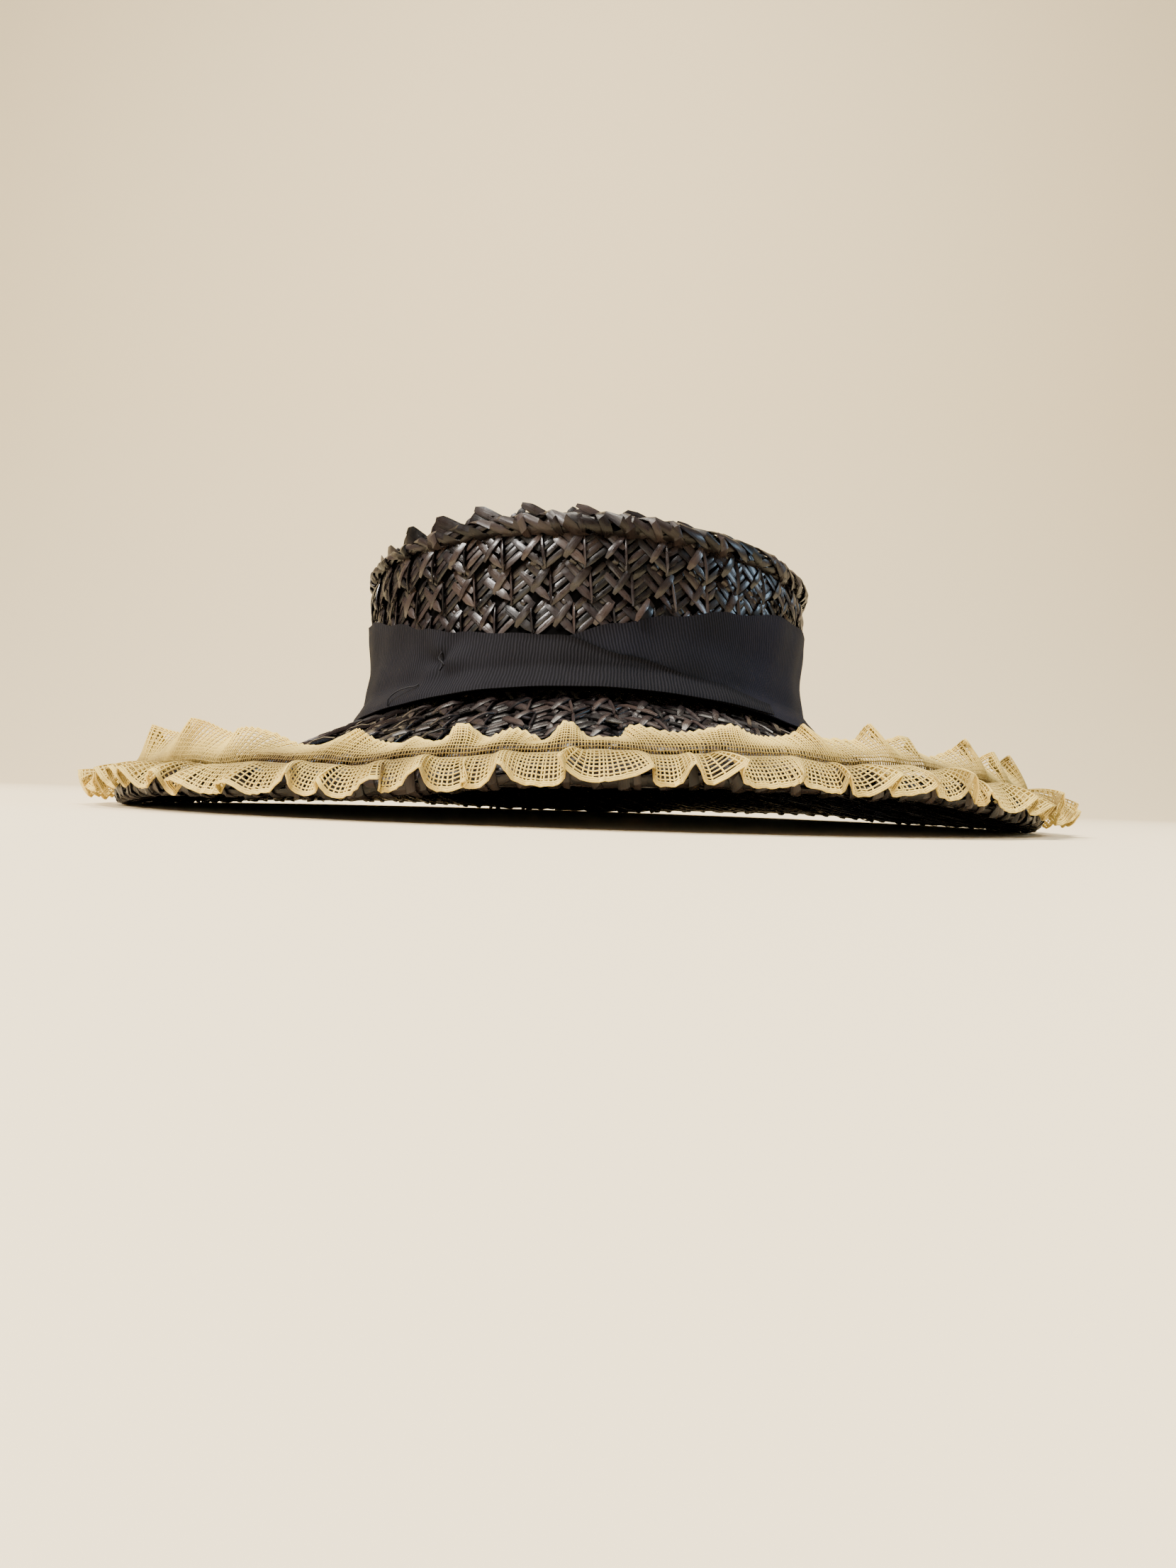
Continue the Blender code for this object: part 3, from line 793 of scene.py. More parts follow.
POINT_STRIPS = (
    strip((-7.4, -1.0, 0.1), (-5.9, 0.9, 0.3), (-4.9, 2.4, 0.2), width=1.5, thick=0.5),
    strip((-5.6, -1.2, 0.0), (-4.4, 1.4, 0.2), (-3.1, 3.9, 0.3), width=1.9, thick=0.5),
    strip((-3.6, 4.3, 0.7), (-0.4, 3.2, 0.7), (3.6, 1.3, 0.5), (7.2, -0.5, 0.0), width=2.1, thick=0.5),
    strip((-4.1, 2.6, 0.5), (-0.8, 1.5, 0.5), (4.6, -0.7, 0.1), width=2.2, thick=0.5),
    strip((-4.4, 0.8, 0.4), (-1.2, -0.1, 0.4), (3.0, -1.6, 0.1), width=2.2, thick=0.5),
)
POINT_RADIUS, POINT_FOOT = 61.7, 44.2
LOWEST_POINT, TALLER_POINT = 0.5, 0.8
points_round = round(2 * math.pi * POINT_RADIUS / TIP_PITCH)
for number in range(points_round):
    def on_point(s, t, n, number=number):
        azimuth = 360 / points_round * (number + s / TIP_PITCH)
        away = np.cos(np.radians(azimuth - TALLEST_AZIMUTH))
        tall = LOWEST_POINT + TALLER_POINT * np.maximum(0, away)
        return on_crown(azimuth, POINT_RADIUS + n, POINT_FOOT + t * np.where(t > 0, tall, 1))

    away = math.cos(2 * math.pi * number / points_round - math.radians(TALLEST_AZIMUTH))
    for one in POINT_STRIPS:
        wider = one._replace(width=one.width * (1.15 + 0.45 * max(0, away)))
        rim.lay(FINE_SPLINT, wider, on_point, nudge=0.25)
# The strand takes the darker straw, which is painted shade.
crown_rim = rim.piece("crown_rim", BOUND_STRAW_PAINTED_SHADE)

# The ground under the tip's splints is coloured nearly black, as painted shade.
tip_ground = spun_band(
    "tip_ground",
    [(0.5, 1.35), (20, 1.3), (40, 1.2), (63.6, 1.0), (63.6, 0.7), (40, 0.9), (20, 1.0), (0.5, 1.05)],
    96,
    lambda azimuth, radius, lift: on_crown(azimuth, radius, CROWN_HEIGHT + lift + dome(radius)),
    GROUND_STRAW_PAINTED_SHADE,
)
crown_tip = tip.piece("crown_tip_plait", LACQUERED_STRAW)
crown_ceiling = tip_under.piece("crown_ceiling", LACQUERED_STRAW)
for piece in (crown_rim, crown_tip, crown_ceiling, tip_ground):
    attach(piece, "root")
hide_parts("crown_tip")

# %% [markdown]
# ## The brim
#
# The brim slopes down from the crown and is sprung up at the front. It is the same plait again, in
# seven rounds whose points face outwards. Rounds near the edge hold more teeth than rounds near
# the crown, so each round counts its own. Under the brim lies the back of the plait.

# %% Rounds of the brim
BRIM_ROUNDS = (127.9, 119.6, 111.3, 103.0, 94.7, 86.4, 78.1)
BRIM_GROUND, ON_TABLE = 1.2, 0.02
SEEN_ON_BRIM = 0.83  # the brim is seen at a slant, so only its front needs the better splints


def brim_place(ring, teeth, turn, over):
    def place(s, t, n):
        azimuth = over * 360 / teeth * (turn + s / TOOTH_PITCH)
        radius = np.clip(ring - t, BRIM_INNER_RADIUS, BRIM_RADIUS - 0.4)
        out = np.clip(t / 9.0, 0, 1)
        under = brim_underside(azimuth, radius)
        if over > 0:
            return around(azimuth, radius, under + BRIM_GROUND + 0.5 * (1 - out) + 1.5 * n)
        return around(azimuth, radius, np.maximum(under + 0.6 - 0.7 * n, ON_TABLE))

    return place


brim, brim_under = Pile(16), Pile(17, relief=0.5)
for ring in BRIM_ROUNDS:
    teeth = round(2 * math.pi * ring / TOOTH_PITCH)
    offset = brim.draw.random()
    for number in range(teeth):
        near = math.cos(2 * math.pi * (number + offset) / teeth) > SEEN_ON_BRIM
        for one in PLAIT_TOOTH:
            kind = SHORT_SPLINT if near else PLAIN_SPLINT
            brim.lay(kind, one, brim_place(ring, teeth, number + offset, 1), nudge=0.3)
        for one in BACK_TOOTH:
            brim_under.lay(PLAIN_SPLINT, one, brim_place(ring, teeth, number, -1), nudge=0.15)

GROUND_RADII = (66, 78, 90, 102, 114, 129.4)
# The ground under the brim's splints is coloured nearly black, as painted shade.
brim_ground = spun_band(
    "brim_ground",
    [(radius, 0.95) for radius in GROUND_RADII] + [(radius, 0.7) for radius in GROUND_RADII[::-1]],
    144,
    lambda azimuth, radius, lift: around(azimuth, radius, brim_underside(azimuth, radius) + lift),
    GROUND_STRAW_PAINTED_SHADE,
)
brim_plait = brim.piece("brim_plait", LACQUERED_STRAW)
brim_back = brim_under.piece("brim_back", LACQUERED_STRAW)

# %% [markdown]
# ## The bound edge of the brim
#
# The brim ends in a hem as thick as two plaits: long splints run along it, and others are wrapped
# over it every centimetre or so. It could be one more round of teeth, but seen from the front it
# is smooth and knotty, without points. So it is made as the strand on the crown was, with
# splints laid along and across a short section that is rolled round the edge.

# %% Bound edge of the brim
EDGE_SECTION = ((-4.6, 0.75), (-1.9, 0.75), (-0.8, 1.2), (-0.4, 2.4), (-0.9, 3.7), (-2.4, 4.6),
                (-4.2, 4.3), (-5.4, 3.2))
EDGE_PITCH = 13.6
EDGE_UNIT = (
    strip((-3.5, 1.0, 0.0), (3.0, 1.4, 0.2), (9.5, 2.1, 0.2), (15.5, 1.4, 0.0), width=2.3),
    strip((-2.0, 4.4, 0.0), (4.0, 3.3, 0.45), (10.0, 3.9, 0.45), (16.0, 5.0, 0.0), width=2.2),
    strip((-5.0, 6.6, 0.0), (1.5, 5.6, 0.5), (8.0, 6.2, 0.45), (14.0, 7.4, 0.0), width=2.2),
    strip((-3.0, 2.6, 0.0), (3.0, 4.8, 0.3), (9.0, 7.2, 0.3), (15.0, 8.4, 0.0), width=2.1),
    strip((-1.0, 9.8, 0.0), (5.0, 9.0, 0.3), (12.0, 9.6, 0.0), width=2.4),
    strip((7.6, 9.8, 0.2), (8.2, 7.4, 1.1), (8.9, 4.6, 1.15), (9.6, 2.2, 0.8), (10.2, 0.4, 0.1),
          width=2.6, end_width=0.7),
    strip((10.4, 8.8, 0.2), (10.8, 6.4, 0.95), (11.3, 3.8, 0.95), (11.8, 1.2, 0.4), width=1.9),
    strip((0.2, 8.0, 0.2), (1.6, 5.6, 0.9), (3.4, 3.2, 0.9), (5.4, 0.8, 0.2), width=2.0),
)

edge = Pile(18)
edge_units = round(2 * math.pi * BRIM_RADIUS / EDGE_PITCH)
for number in range(edge_units):
    def on_edge(s, t, n, number=number):
        azimuth = 360 / edge_units * (number + s / EDGE_PITCH)
        spot, facing = rolled(EDGE_SECTION, t)
        radius = BRIM_RADIUS + spot[:, 0] + n * facing[:, 0]
        height = brim_underside(azimuth, radius) + spot[:, 1] + n * facing[:, 1]
        return around(azimuth, radius, np.maximum(height, ON_TABLE))

    near = math.cos(2 * math.pi * number / edge_units) > SEEN
    for one in EDGE_UNIT:
        edge.lay(FINE_SPLINT if near else SHORT_SPLINT, one, on_edge, nudge=0.3)
# The bound edge takes the darker straw, which is painted shade.
brim_edge = edge.piece("brim_edge", BOUND_STRAW_PAINTED_SHADE)
for piece in (brim_plait, brim_back, brim_edge, brim_ground):
    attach(piece, "root")
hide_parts("brim")

# %% [markdown]
# ## The ribbon
#
# A ribbed, silky ribbon goes once round the crown and ends at the front, where its end crosses
# slantwise over its start. A ribbon is nearly a flat sheet, so it is a fine grid laid round the
# crown at the ribbon's own radius, and Solidify gives it its thickness. Its UV map holds true
# millimetres, along and across, which is what the ribs need. A small stitch pulls the cloth in on
# the left, and soft creases run out from it. Two more values are stored with the grid: a painted
# light along the ribbon, lighter and greyer on the left and lighter and bluer on the right, and the
# thin painted shadow at the folded end's edge, on the end itself and on the start beneath it.

# %% Lay the ribbon
RIBBON_TOP = (
    (-18, 10.0), (-6, 14.0), (7, 18.2), (19, 21.5), (36, 25.9), (55, 30.2), (75, 31.4), (180, 31.4),
    (272, 31.0), (293, 28.2), (309, 23.7), (320, 19.8), (330, 17.2), (342, 15.3), (354, 14.2),
    (369, 9.6), (386, 6.2), (404, 3.4),
)
RIBBON_BOTTOM = (
    (-18, 2.0), (-6, 1.5), (7, 1.2), (19, 1.0), (36, 0.7), (55, 0.3), (75, 0.2), (180, 0.2),
    (272, 0.2), (293, 0.2), (309, 0.0), (320, 0.0), (330, 0.2), (342, 0.4), (354, 0.5), (369, 0.6),
    (386, 0.6), (404, 0.6),
)
RIBBON_STEP, RIBBON_STEP_FROM, RIBBON_STEP_TO = 1.4, 280, 335
RIBBON_FROM, RIBBON_TO = -18, 404
RIBBON_COLUMNS, RIBBON_LINES = 460, 22
RIB_LEAN = ((-18, 0.12), (10, 0.2), (40, 0.26), (75, 0.0), (310, 0.0), (350, -0.05), (404, -0.16))
# Painted light along the ribbon, by azimuth: 0 is lighter and greyer (left), 1 lighter and bluer (right),
# the front darkest.
RIBBON_PAINTED_LIGHT = ((-18, 0.45), (25, 0.5), (55, 0.8), (90, 1.0), (180, 0.7), (270, 0.0), (320, 0.15),
              (365, 0.4), (404, 0.45))
STITCH, STITCH_DEPTH, STITCH_REACH = (326.2, 10.2), 1.6, 2.2
CREASE_DEPTH, FLARE, FLARE_AT = 0.75, 1.8, 85
DEGREE = 1.13  # millimetres along the ribbon for one degree, near enough for its creases


def ribbon_radius(azimuth, height):
    """The ribbon's own radius, with its step over its start and the dent of the stitch."""
    climb = np.clip((azimuth - RIBBON_STEP_FROM) / (RIBBON_STEP_TO - RIBBON_STEP_FROM), 0, 1)
    radius = eased(RIBBON_RADIUS, height) + 0.5 + RIBBON_STEP * climb
    beside = (azimuth - STITCH[0]) * DEGREE
    above = height - STITCH[1]
    away = np.hypot(beside, above)
    dent = -STITCH_DEPTH * np.exp(-(away / STITCH_REACH) ** 2)
    spokes = CREASE_DEPTH * np.cos(3 * np.arctan2(above, beside) + 0.6) * np.exp(-((away - 5) / 4.5) ** 2)
    soft = 0.16 * np.sin(azimuth * 0.21 + height * 0.12) + 0.12 * np.sin(azimuth * 0.47 - height * 0.2)
    flare = FLARE * np.exp(-(height / 5) ** 2) * np.maximum(0, np.cos(np.radians(azimuth - FLARE_AT))) ** 2
    return radius + dent + spokes + soft + flare


bpy.ops.object.select_all(action="DESELECT")
bpy.ops.mesh.primitive_grid_add(x_subdivisions=RIBBON_COLUMNS, y_subdivisions=RIBBON_LINES, size=1)
ribbon = bpy.context.object
ribbon.name = "ribbon_band"
flat = np.array([point.co[:2] for point in ribbon.data.vertices]) + 0.5
azimuth = RIBBON_FROM + (RIBBON_TO - RIBBON_FROM) * flat[:, 0]
top, bottom = eased(RIBBON_TOP, azimuth), eased(RIBBON_BOTTOM, azimuth)
height = bottom + (top - bottom) * (1 - (1 - flat[:, 1]) ** 1.5)
below_edge = top - height
end_part = np.clip((azimuth - 340) / 14, 0, 1)
lip = 0.4 * np.exp(-(below_edge / 0.8) ** 2) * end_part
laid = (on_crown(azimuth, ribbon_radius(azimuth, height) + lip, height) + HAT_CENTRE) * MM
ribbon.data.vertices.foreach_set("co", laid.ravel())
RIBBON_RUN = math.radians(1) * 64.8  # millimetres along the ribbon for one degree
RIBBON_THICKNESS = 0.45
along = azimuth * RIBBON_RUN + eased(RIB_LEAN, azimuth) * (height - top)
weave = np.stack([along, height], axis=1)
over_edge = height - eased(RIBBON_TOP, azimuth + 360)
start_part = np.clip((azimuth + 8) / 6, 0, 1) * np.clip((44 - azimuth) / 6, 0, 1)
fold_shade = (0.8 * np.exp(-(below_edge / 0.25) ** 2) * end_part
              + np.exp(-((over_edge - 0.1) / 0.5) ** 2) * start_part)
# Painted light: how light and how blue the ribbon is painted along its length.
store(ribbon.data, "ribbon_painted_light", eased(RIBBON_PAINTED_LIGHT, azimuth))
store(ribbon.data, "fold_shade", np.clip(fold_shade, 0, 1))
while ribbon.data.uv_layers:
    ribbon.data.uv_layers.remove(ribbon.data.uv_layers[0])
store_map(ribbon.data, "weave", weave)
ribbon.data.update()
ribbon_area = sum(face.area for face in ribbon.data.polygons)
thick = ribbon.modifiers.new("thickness", "SOLIDIFY")
thick.thickness = RIBBON_THICKNESS * MM
thick.offset = 0
select_only(ribbon)
bpy.ops.object.modifier_apply(modifier="thickness")
bpy.ops.object.mode_set(mode="EDIT")
bpy.ops.mesh.select_all(action="SELECT")
bpy.ops.mesh.normals_make_consistent(inside=False)
bpy.ops.object.mode_set(mode="OBJECT")
smooth_below(ribbon, 50)
print("ribbon", round(ribbon_area * 1e6), "square mm")

# %% [markdown]
# ## Grosgrain
#
# Grosgrain has fine ribs straight across the ribbon, less than a millimetre apart. They could be
# modelled, but some six hundred ribs in a dark cloth are read by the light they catch, so they are
# a bump: a sine along the ribbon's own UV map, which holds millimetres. The same sine paints the
# colour darker in each groove and lighter on each crest, as painted shade and highlight. A painted
# light runs along the ribbon as well: lighter and greyer on the left, lighter and bluer on the right.

# %% Rib group and ribbon material
def make_rib_group():
    """Ribs across a ribbon, from its UV map in millimetres, with the wander of real yarn."""
    group, into, out = new_group("cross_ribs", [("Pitch", 0.8), ("Wander", 0.15)], ["Ribs", "Yarn"])
    surface = add(group, "UVMap", uv_map="weave").outputs["UV"]
    along = add(group, "SeparateXYZ", {"Vector": surface}).outputs["X"]
    drift = noise(group, surface, 0.35, 2.0, noise_dimensions="2D")
    moved = compute(group, "MULTIPLY_ADD", drift, into["Wander"], along)
    turns = compute(group, "DIVIDE", moved, into["Pitch"])
    wave = compute(group, "SINE", compute(group, "MULTIPLY", turns, 2 * math.pi))
    yarn = noise(group, surface, 4.5, 3.0, noise_dimensions="2D")
    feed(group, out, {"Ribs": compute(group, "MULTIPLY_ADD", wave, 0.5, 0.5), "Yarn": yarn})
    return group


RIBS = make_rib_group()
# Tones of the painted light on the ribbon: greyer at 0, darkest in the middle, bluest at 1.
RIBBON_LIGHT_TONES = ((0.0, (0.0155, 0.0150, 0.0190)), (0.45, (0.0096, 0.0091, 0.0112)), (1.0, (0.0165, 0.0170, 0.0310)))
# Painted shade in the rib grooves and painted highlight on the crests, multiplied into the colour.
RIB_PAINTED_LIGHT = ((0.0, (0.45, 0.45, 0.45)), (0.6, (1.0, 1.0, 1.0)), (1.0, (1.35, 1.35, 1.4)))
FOLD_COLOUR = (0.001, 0.001, 0.0012, 1)


def grosgrain_material():
    made, tree, shader = new_material("navy_grosgrain")
    ribs = add(tree, "Group", node_tree=RIBS)
    feed(tree, ribs, {"Pitch": 0.8, "Wander": 0.5})
    rib, yarn = ribs.outputs["Ribs"], ribs.outputs["Yarn"]
    cloud = noise(tree, add(tree, "TexCoord").outputs["Object"], 38.0, 3.0)
    # The cloud is uneven dye; the stored value adds the painted light.
    uneven = compute(tree, "MULTIPLY_ADD", cloud, 0.5, stored(tree, "ribbon_painted_light"))
    toned_and_lit = ramp(tree, compute(tree, "SUBTRACT", uneven, 0.25), RIBBON_LIGHT_TONES)
    # The painted shade and highlight of the ribs, multiplied into the colour.
    ridge = add(tree, "Mix", {"Factor": 1.0, "A": toned_and_lit, "B": ramp(tree, rib, RIB_PAINTED_LIGHT)},
                data_type="RGBA", blend_type="MULTIPLY")
    under_fold = add(tree, "Mix", {"Factor": stored(tree, "fold_shade"), "A": ridge.outputs["Result"],
                                   "B": FOLD_COLOUR}, data_type="RGBA")
    relief = compute(tree, "MULTIPLY_ADD", yarn, 0.35, rib)
    feed(tree, shader, {
        "Base Color": under_fold.outputs["Result"], "Normal": bump(tree, relief, 0.7, 0.00022),
        "Roughness": remap(tree, yarn, 0.62, 0.8), "Specular IOR Level": 0.08,
    })
    return made


ribbon.data.materials.append(grosgrain_material())

# %% [markdown]
# ## Threads
#
# A few things on this hat are single threads: the stitch in the ribbon, its loose end, and the
# whole net of the ruffle. A thread is a thin tube. With three sides and smooth shading it reads as
# round at the distance of the camera, and that keeps a net of thousands of threads light. One
# helper turns any number of thread paths into tubes, closed at both ends.

# %% Tubes for threads
def tubes(paths, normals, radius, sides=3, shade=0.5):
    """Closed tubes along paths of shape (threads, points, 3): points, faces and their shade."""
    ahead = np.gradient(paths, axis=1)
    ahead /= np.maximum(np.linalg.norm(ahead, axis=2, keepdims=True), 1e-9)
    side = np.cross(ahead, normals)
    side /= np.maximum(np.linalg.norm(side, axis=2, keepdims=True), 1e-9)
    up = np.cross(side, ahead)
    threads, count = paths.shape[:2]
    turn = 2 * math.pi * np.arange(sides) / sides
    ring = (np.cos(turn)[None, None, :, None] * up[:, :, None]
            + np.sin(turn)[None, None, :, None] * side[:, :, None])
    points = (paths[:, :, None] + radius * ring).reshape(-1, 3)
    number = np.arange(threads * count * sides).reshape(threads, count, sides)
    here, after = number[:, :-1], number[:, 1:]
    quads = np.stack([here, np.roll(here, -1, axis=2), np.roll(after, -1, axis=2), after], axis=-1)
    starts, ends = number[:, 0, ::-1], number[:, -1]
    faces = quads.reshape(-1, 4).tolist() + starts.tolist() + ends.tolist()
    return points, faces, np.repeat(np.broadcast_to(shade, (threads, count)).ravel(), sides)


def thread_piece(name, batches, looks):
    """One object from batches of (points, faces, shade), where shade is a painted shade: 0 in deep folds,
    1 outside.
    """
    points, faces, shades, count = [], [], [], 0
    for spots, polygons, shade in batches:
        points.append(spots)
        shades.append(np.broadcast_to(shade, len(spots)))
        faces += [[corner + count for corner in polygon] for polygon in polygons]
        count += len(spots)
    made = new_piece(name, np.concatenate(points), faces, looks)
    store(made.data, "net_painted_light", np.concatenate(shades))
    made.data.shade_smooth()
    return made


PAINTED_LIGHT_LIFT, SHADE_RANGE = 0.8, 0.645  # what the painted light adds to a thread's shade, and its scale


def thread_material(name, colour, pale, roughness):
    made, tree, shader = new_material(name)
    place = add(tree, "TexCoord").outputs["Object"]
    slow = noise(tree, place, 60.0, 3.0)
    fuzz = noise(tree, place, 2600.0, 2.0)
    both = compute(tree, "MULTIPLY_ADD", fuzz, 0.5, slow)
    # The stored value is a painted light: threads in deep folds and near the seam take the dark colour, as
    # painted shade.
    lighter = compute(tree, "MULTIPLY_ADD", stored(tree, "net_painted_light"), PAINTED_LIGHT_LIFT, both)
    shade = compute(tree, "MULTIPLY", lighter, SHADE_RANGE)
    feed(tree, shader, {
        "Base Color": ramp(tree, shade, ((0.45, colour), (1.0, pale))),
        "Normal": bump(tree, fuzz, 0.5, 0.0001),
        "Roughness": remap(tree, slow, roughness - 0.08, roughness + 0.08),
    })
    return made


# %% [markdown]
# ## The stitch and the loose end
#
# Two short stitches pull the ribbon in, and further left a thread end has come loose and curls
# over the ribbon's lower edge. Both could be painted, but a thread end stands off the cloth. Each
# is therefore a table of azimuth, height and distance from the ribbon, drawn as a thin tube.

# %% Stitch and loose end in the ribbon
DARK_THREAD = thread_material("dark_thread", (0.0015, 0.0015, 0.003), (0.006, 0.006, 0.012), 0.75)
STITCH_ROUTE = ((326.4, 12.6, 0.1), (326.0, 11.4, 0.75), (326.5, 9.4, 0.75), (326.1, 7.8, 0.1))
SECOND_STITCH = ((325.2, 11.6, 0.1), (325.6, 10.8, 0.8), (326.8, 9.9, 0.8), (327.4, 9.0, 0.1))
LOOSE_END = ((313.2, 0.4, 0.2), (313.4, 1.8, 0.9), (314.6, 3.0, 1.5), (316.6, 3.9, 1.7),
             (318.8, 4.3, 1.2), (320.8, 4.2, 0.6), (321.6, 4.6, 0.4))


def on_ribbon(route, steps):
    """A thread's path over the ribbon, and its outward directions."""
    spots = curve(route, np.linspace(0, 1, steps))
    azimuth, height = spots[:, 0], spots[:, 1]
    path = on_crown(azimuth, ribbon_radius(azimuth, height) + 0.25 + spots[:, 2], height)
    outer = on_crown(azimuth, ribbon_radius(azimuth, height) + 1.25 + spots[:, 2], height)
    return path[None], (outer - path)[None]


STITCH_RADIUS, END_RADIUS, THREAD_SIDES = 0.17, 0.2, 5
threads = thread_piece(
    "ribbon_threads",
    [tubes(*on_ribbon(STITCH_ROUTE, 12), STITCH_RADIUS, THREAD_SIDES),
     tubes(*on_ribbon(SECOND_STITCH, 12), STITCH_RADIUS, THREAD_SIDES),
     tubes(*on_ribbon(LOOSE_END, 28), END_RADIUS, THREAD_SIDES)],
    DARK_THREAD,
)
for piece in (ribbon, threads):
    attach(piece, "root")
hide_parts("ribbon")

# %% [markdown]
# ## The net ruffle
#
# The ruffle is a strip of open net, 23 mm wide and about 1.44 m long, drawn up on a thread along
# its middle until it is only as long as the brim's edge, and sewn down there. One frill stands up
# or lies back over the brim, the other hangs out over the edge. Cloth could be simulated, but that
# is slow for so fine a net. So the folds are worked out from the way a frill leaves its seam:
# between the folds it hangs at its resting angle, and towards the crest of each fold it swings up
# or out. Crests are narrow and lobes are wide. Every fold draws its own size, swing and lean.

# %% Folds of a frill
SEAM_RADIUS = 127.3
SEAM_LIFT = ((0, 4.4), (40, 4.3), (80, 4.0), (180, 3.6), (280, 4.0), (320, 4.3), (360, 4.4))
STRIP_LENGTH = 1440.0
RIPPLE, RIPPLE_LENGTH = 0.28, 2.9
# A frill leaves its seam at the angle start, and further back by a share, follow, of what it
# leans back. It reaches its own angle after the share settle of its width, and its edge curls on.
# side says to which hand of that way its folds rise: upwards in both frills. Angles are in
# degrees from level, where 0 points out from the hat and 180 back over the brim.
Frill = namedtuple("Frill", "width side start follow settle curl sharpness angles swings")
UPPER = Frill(
    width=11.0, side=1, start=80, follow=0.75, settle=0.35, curl=12, sharpness=0.3,
    angles=((0, 175), (18, 173), (34, 163), (50, 150), (70, 141), (90, 136), (120, 133), (160, 132),
            (200, 132), (240, 133), (275, 136), (295, 143), (312, 155), (330, 169), (360, 175)),
    swings=((0, -24), (30, -30), (50, -40), (90, -44), (270, -44), (310, -38), (335, -28), (360, -24)),
)
LOWER = Frill(
    width=12.0, side=-1, start=10, follow=0.0, settle=0.5, curl=-32, sharpness=0.9,
    angles=((0, -34), (22, -34), (40, -32), (60, -26), (90, -18), (120, -14), (160, -12), (200, -12),
            (240, -14), (275, -20), (300, -28), (320, -32), (340, -34), (360, -34)),
    swings=((0, 26), (90, 28), (270, 28), (360, 26)),
)
PLACES = 4000  # places round the seam at which the folds are known
LEAN_DRAW, SWAY, SWAY_WIDTH = 2.0, 60, 260  # spread of the lean in mm, and a slow sway


def smooth_round(values, width):
    """A running mean of a closed row of values, so many wide."""
    kernel = np.hanning(width + 2)[1:-1]
    wrapped = np.concatenate([values[-width:], values, values[:width]])
    return np.convolve(wrapped, kernel / kernel.sum(), mode="same")[width:-width]


def fold_rows(seed, folds, sizes, strengths, pinches):
    """Phase, height and length of the folds at all places round the seam."""
    draw = random.Random(seed)
    halves = np.array([draw.choice(sizes) * draw.uniform(0.85, 1.15) for _ in range(2 * folds)])
    halves *= 2 * math.pi * SEAM_RADIUS / halves.sum()
    ends = np.concatenate([[0], np.cumsum(halves)])
    grid = np.arange(PLACES) * ends[-1] / PLACES
    straight = math.pi * 2 * folds * grid / ends[-1]
    bent = np.interp(grid, ends, math.pi * np.arange(2 * folds + 1)) - straight
    middles = (ends[1:] + ends[:-1]) / 2

    def drawn(values):
        return smooth_round(np.interp(grid, middles, values, period=ends[-1]), 21)

    sway = smooth_round(np.array([draw.gauss(0, 1) for _ in range(PLACES)]), SWAY_WIDTH) * SWAY
    return {
        "turns": 2 * math.pi * folds,
        "phase": straight + smooth_round(bent, 15),
        "length": drawn(2 * halves),
        "strength": drawn([draw.uniform(*strengths) for _ in halves]),
        "back": drawn([draw.uniform(*pinches) for _ in halves]),
        "lean": drawn([draw.gauss(0, LEAN_DRAW) for _ in halves]),
        "sway": sway,
    }


def seam_height(azimuth):
    turn = np.radians(azimuth)
    lift = eased(SEAM_LIFT, np.mod(azimuth, 360)) + 0.3 * np.sin(23 * turn + 1) + 0.25 * np.sin(41 * turn)
    return brim_underside(azimuth, np.full_like(azimuth, SEAM_RADIUS)) + BRIM_THICKNESS + lift


STEPS = 14  # from the seam to the edge
LAID_BACK = 134  # a frill that rests further back than this also starts further back
FOLD_SHARE, FLATTEST, TALLEST = 0.2, 1.1, 3.0  # a fold's height as a share of its length, in mm
CLEAR, SEAM_CLEAR, LOWEST_NET = 2.0, 2.4, 0.6  # above the straw, at the seam, and on the table


